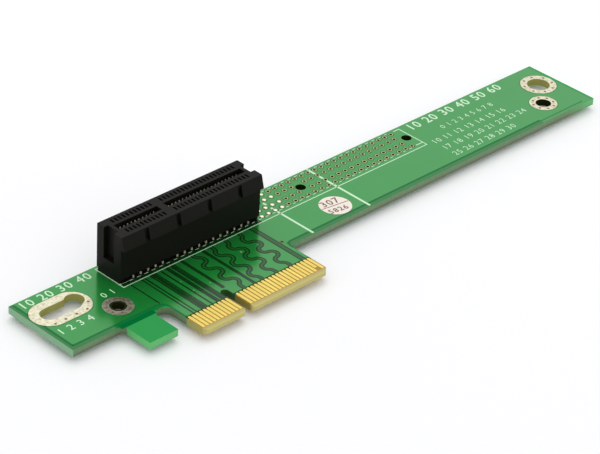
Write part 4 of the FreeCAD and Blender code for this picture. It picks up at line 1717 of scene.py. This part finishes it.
@dataclass(frozen=True)
class Label(Assembly):
    """The round inspection label and its print."""

    x: float = 40.6
    y: float = -10.1
    thickness: float = 0.1
    rise: float = 0.01
    line_start: Place = (-3.4, 0.55)
    line_turn: float = -8.0
    line_length: float = 6.9
    line_width: float = 0.2

    def make(self) -> None:
        """Dress the label and print plain numbers and a dividing line on it."""
        self.dress("inspection_label", Paint.PAPER)
        mesh = bmesh.new()
        start = (self.x + self.line_start[0], self.y + self.line_start[1])
        Track(mesh, start, self.line_turn, self.line_width).run(self.line_length)
        thicken(mesh, self.rise, self.thickness)
        for text, size, x, y, turn in (("307", 2.0, -2.6, 0.85, -5),
                                       ("5826", 1.55, -3.2, -1.95, -8)):
            add_numerals(mesh, text, size, (self.x + x, self.y + y), turn, self.thickness,
                         self.rise, weight=0.03)
        self.cast(mesh, "label_print", (Paint.PRINT,), Slot.PAPER)


@dataclass(frozen=True)
class Studio:
    """A pale floor, soft light and the camera at the photograph's angle."""

    layout: Layout
    eye: tuple[float, float, float] = (-305.155, -330.969, 290.528)
    azimuth: float = 46.261
    elevation: float = 32.148
    roll: float = -3.454
    lens: float = 156.297
    lift: float = 0.07
    world_level: float = 0.78
    floor_colour: Colour = (0.955, 0.96, 0.975)
    floor_roughness: float = 0.35
    floor_specular: float = 0.3
    lamp_watts: float = 2.6
    lamp_size: Pair = (0.9, 0.6)
    lamp_place: tuple[float, float, float] = (0.30, 0.34, 0.95)

    def make(self) -> None:
        """Set up the floor, the world, the lamp and the camera."""
        self.make_world()
        self.make_floor()
        self.make_lamp()
        self.make_camera()
        bpy.context.scene.view_settings.view_transform = "Standard"

    def make_world(self) -> None:
        """Surround the card with plain light, white where it is seen or mirrored."""
        world = bpy.data.worlds.new("studio")
        world.use_nodes = True
        bpy.context.scene.world = world
        backdrop = world.node_tree.nodes["Background"]
        backdrop.inputs["Color"].default_value = (1.0, 1.0, 1.0, 1.0)
        self.show_as(Tree(world.node_tree), self.world_level, 1.0,
                     backdrop.inputs["Strength"])

    def show_as(self, tree: Tree, level: float, seen_level: float,
                target: bpy.types.NodeSocket) -> None:
        """Give a strength one value for light and another for what is seen or mirrored.

        Args:
            tree: the node tree that holds the strength.
            level: its value as a source of light.
            seen_level: its value to the camera and to mirrored or passing rays.
            target: the strength's socket.
        """
        path = tree.node("ShaderNodeLightPath").outputs
        mirrored = tree.math("MAXIMUM", path["Is Glossy Ray"], path["Is Transmission Ray"])
        seen = tree.math("MAXIMUM", path["Is Camera Ray"], mirrored)
        tree.join(tree.ramp(seen, 0.0, 1.0, level, seen_level), target)

    def make_floor(self) -> None:
        """Lay a white floor under the card, which keeps the card's shadow."""
        floor_material = bpy.data.materials.new("floor")
        floor_material.use_nodes = True
        surface = floor_material.node_tree.nodes["Principled BSDF"]
        surface.inputs["Base Color"].default_value = (*self.floor_colour, 1.0)
        surface.inputs["Roughness"].default_value = self.floor_roughness
        surface.inputs["Specular IOR Level"].default_value = self.floor_specular
        surface.inputs["Emission Color"].default_value = (1.0, 1.0, 1.0, 1.0)
        self.show_as(Tree(floor_material.node_tree), 0.0, self.lift,
                     surface.inputs["Emission Strength"])
        mesh = bmesh.new()
        bmesh.ops.create_grid(mesh, x_segments=1, y_segments=1, size=4.0)
        floor = show("floor", as_data(mesh, "floor"))
        floor.data.materials.append(floor_material)

    def make_lamp(self) -> None:
        """Hang a broad soft lamp above and behind the card."""
        lamp = bpy.data.lights.new("soft_box", "AREA")
        lamp.shape = "RECTANGLE"
        lamp.size, lamp.size_y = self.lamp_size
        lamp.energy = self.lamp_watts
        hung = show("soft_box", lamp)
        hung.location = self.lamp_place
        aim = Vector((0, 0, 0)) - hung.location
        hung.rotation_euler = aim.to_track_quat("-Z", "Y").to_euler()

    def make_camera(self) -> None:
        """Place the camera where the photograph was taken from."""
        camera = bpy.data.cameras.new("camera")
        camera.lens = self.lens
        camera.sensor_width = 36.0
        camera.clip_start = 0.01
        placed = show("camera", camera)
        azimuth, elevation = math.radians(self.azimuth), math.radians(self.elevation)
        forward = Vector((math.sin(azimuth) * math.cos(elevation),
                          math.cos(azimuth) * math.cos(elevation), -math.sin(elevation)))
        right = Vector((math.cos(azimuth), -math.sin(azimuth), 0.0))
        turn = Matrix.Rotation(math.radians(self.roll), 3, forward)
        right = turn @ right
        up = right.cross(forward)
        axes = Matrix((right, up, -forward)).transposed().to_4x4()
        placed.matrix_world = Matrix.Translation(self.layout.at(*self.eye)) @ axes
        bpy.context.scene.camera = placed


def main() -> None:
    """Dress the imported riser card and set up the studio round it."""
    logging.basicConfig(level=logging.INFO, format="%(message)s")
    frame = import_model()
    layout = Layout.from_frame()
    finishes = Paint.build_all(layout)
    for kind in (Board, Bores, Fingers, Silkscreen, HoleField, Vias, Socket, Label):
        kind(layout, frame["nodes"], finishes).make()
    Studio(layout).make()


if __name__ == "__main__":
    main()
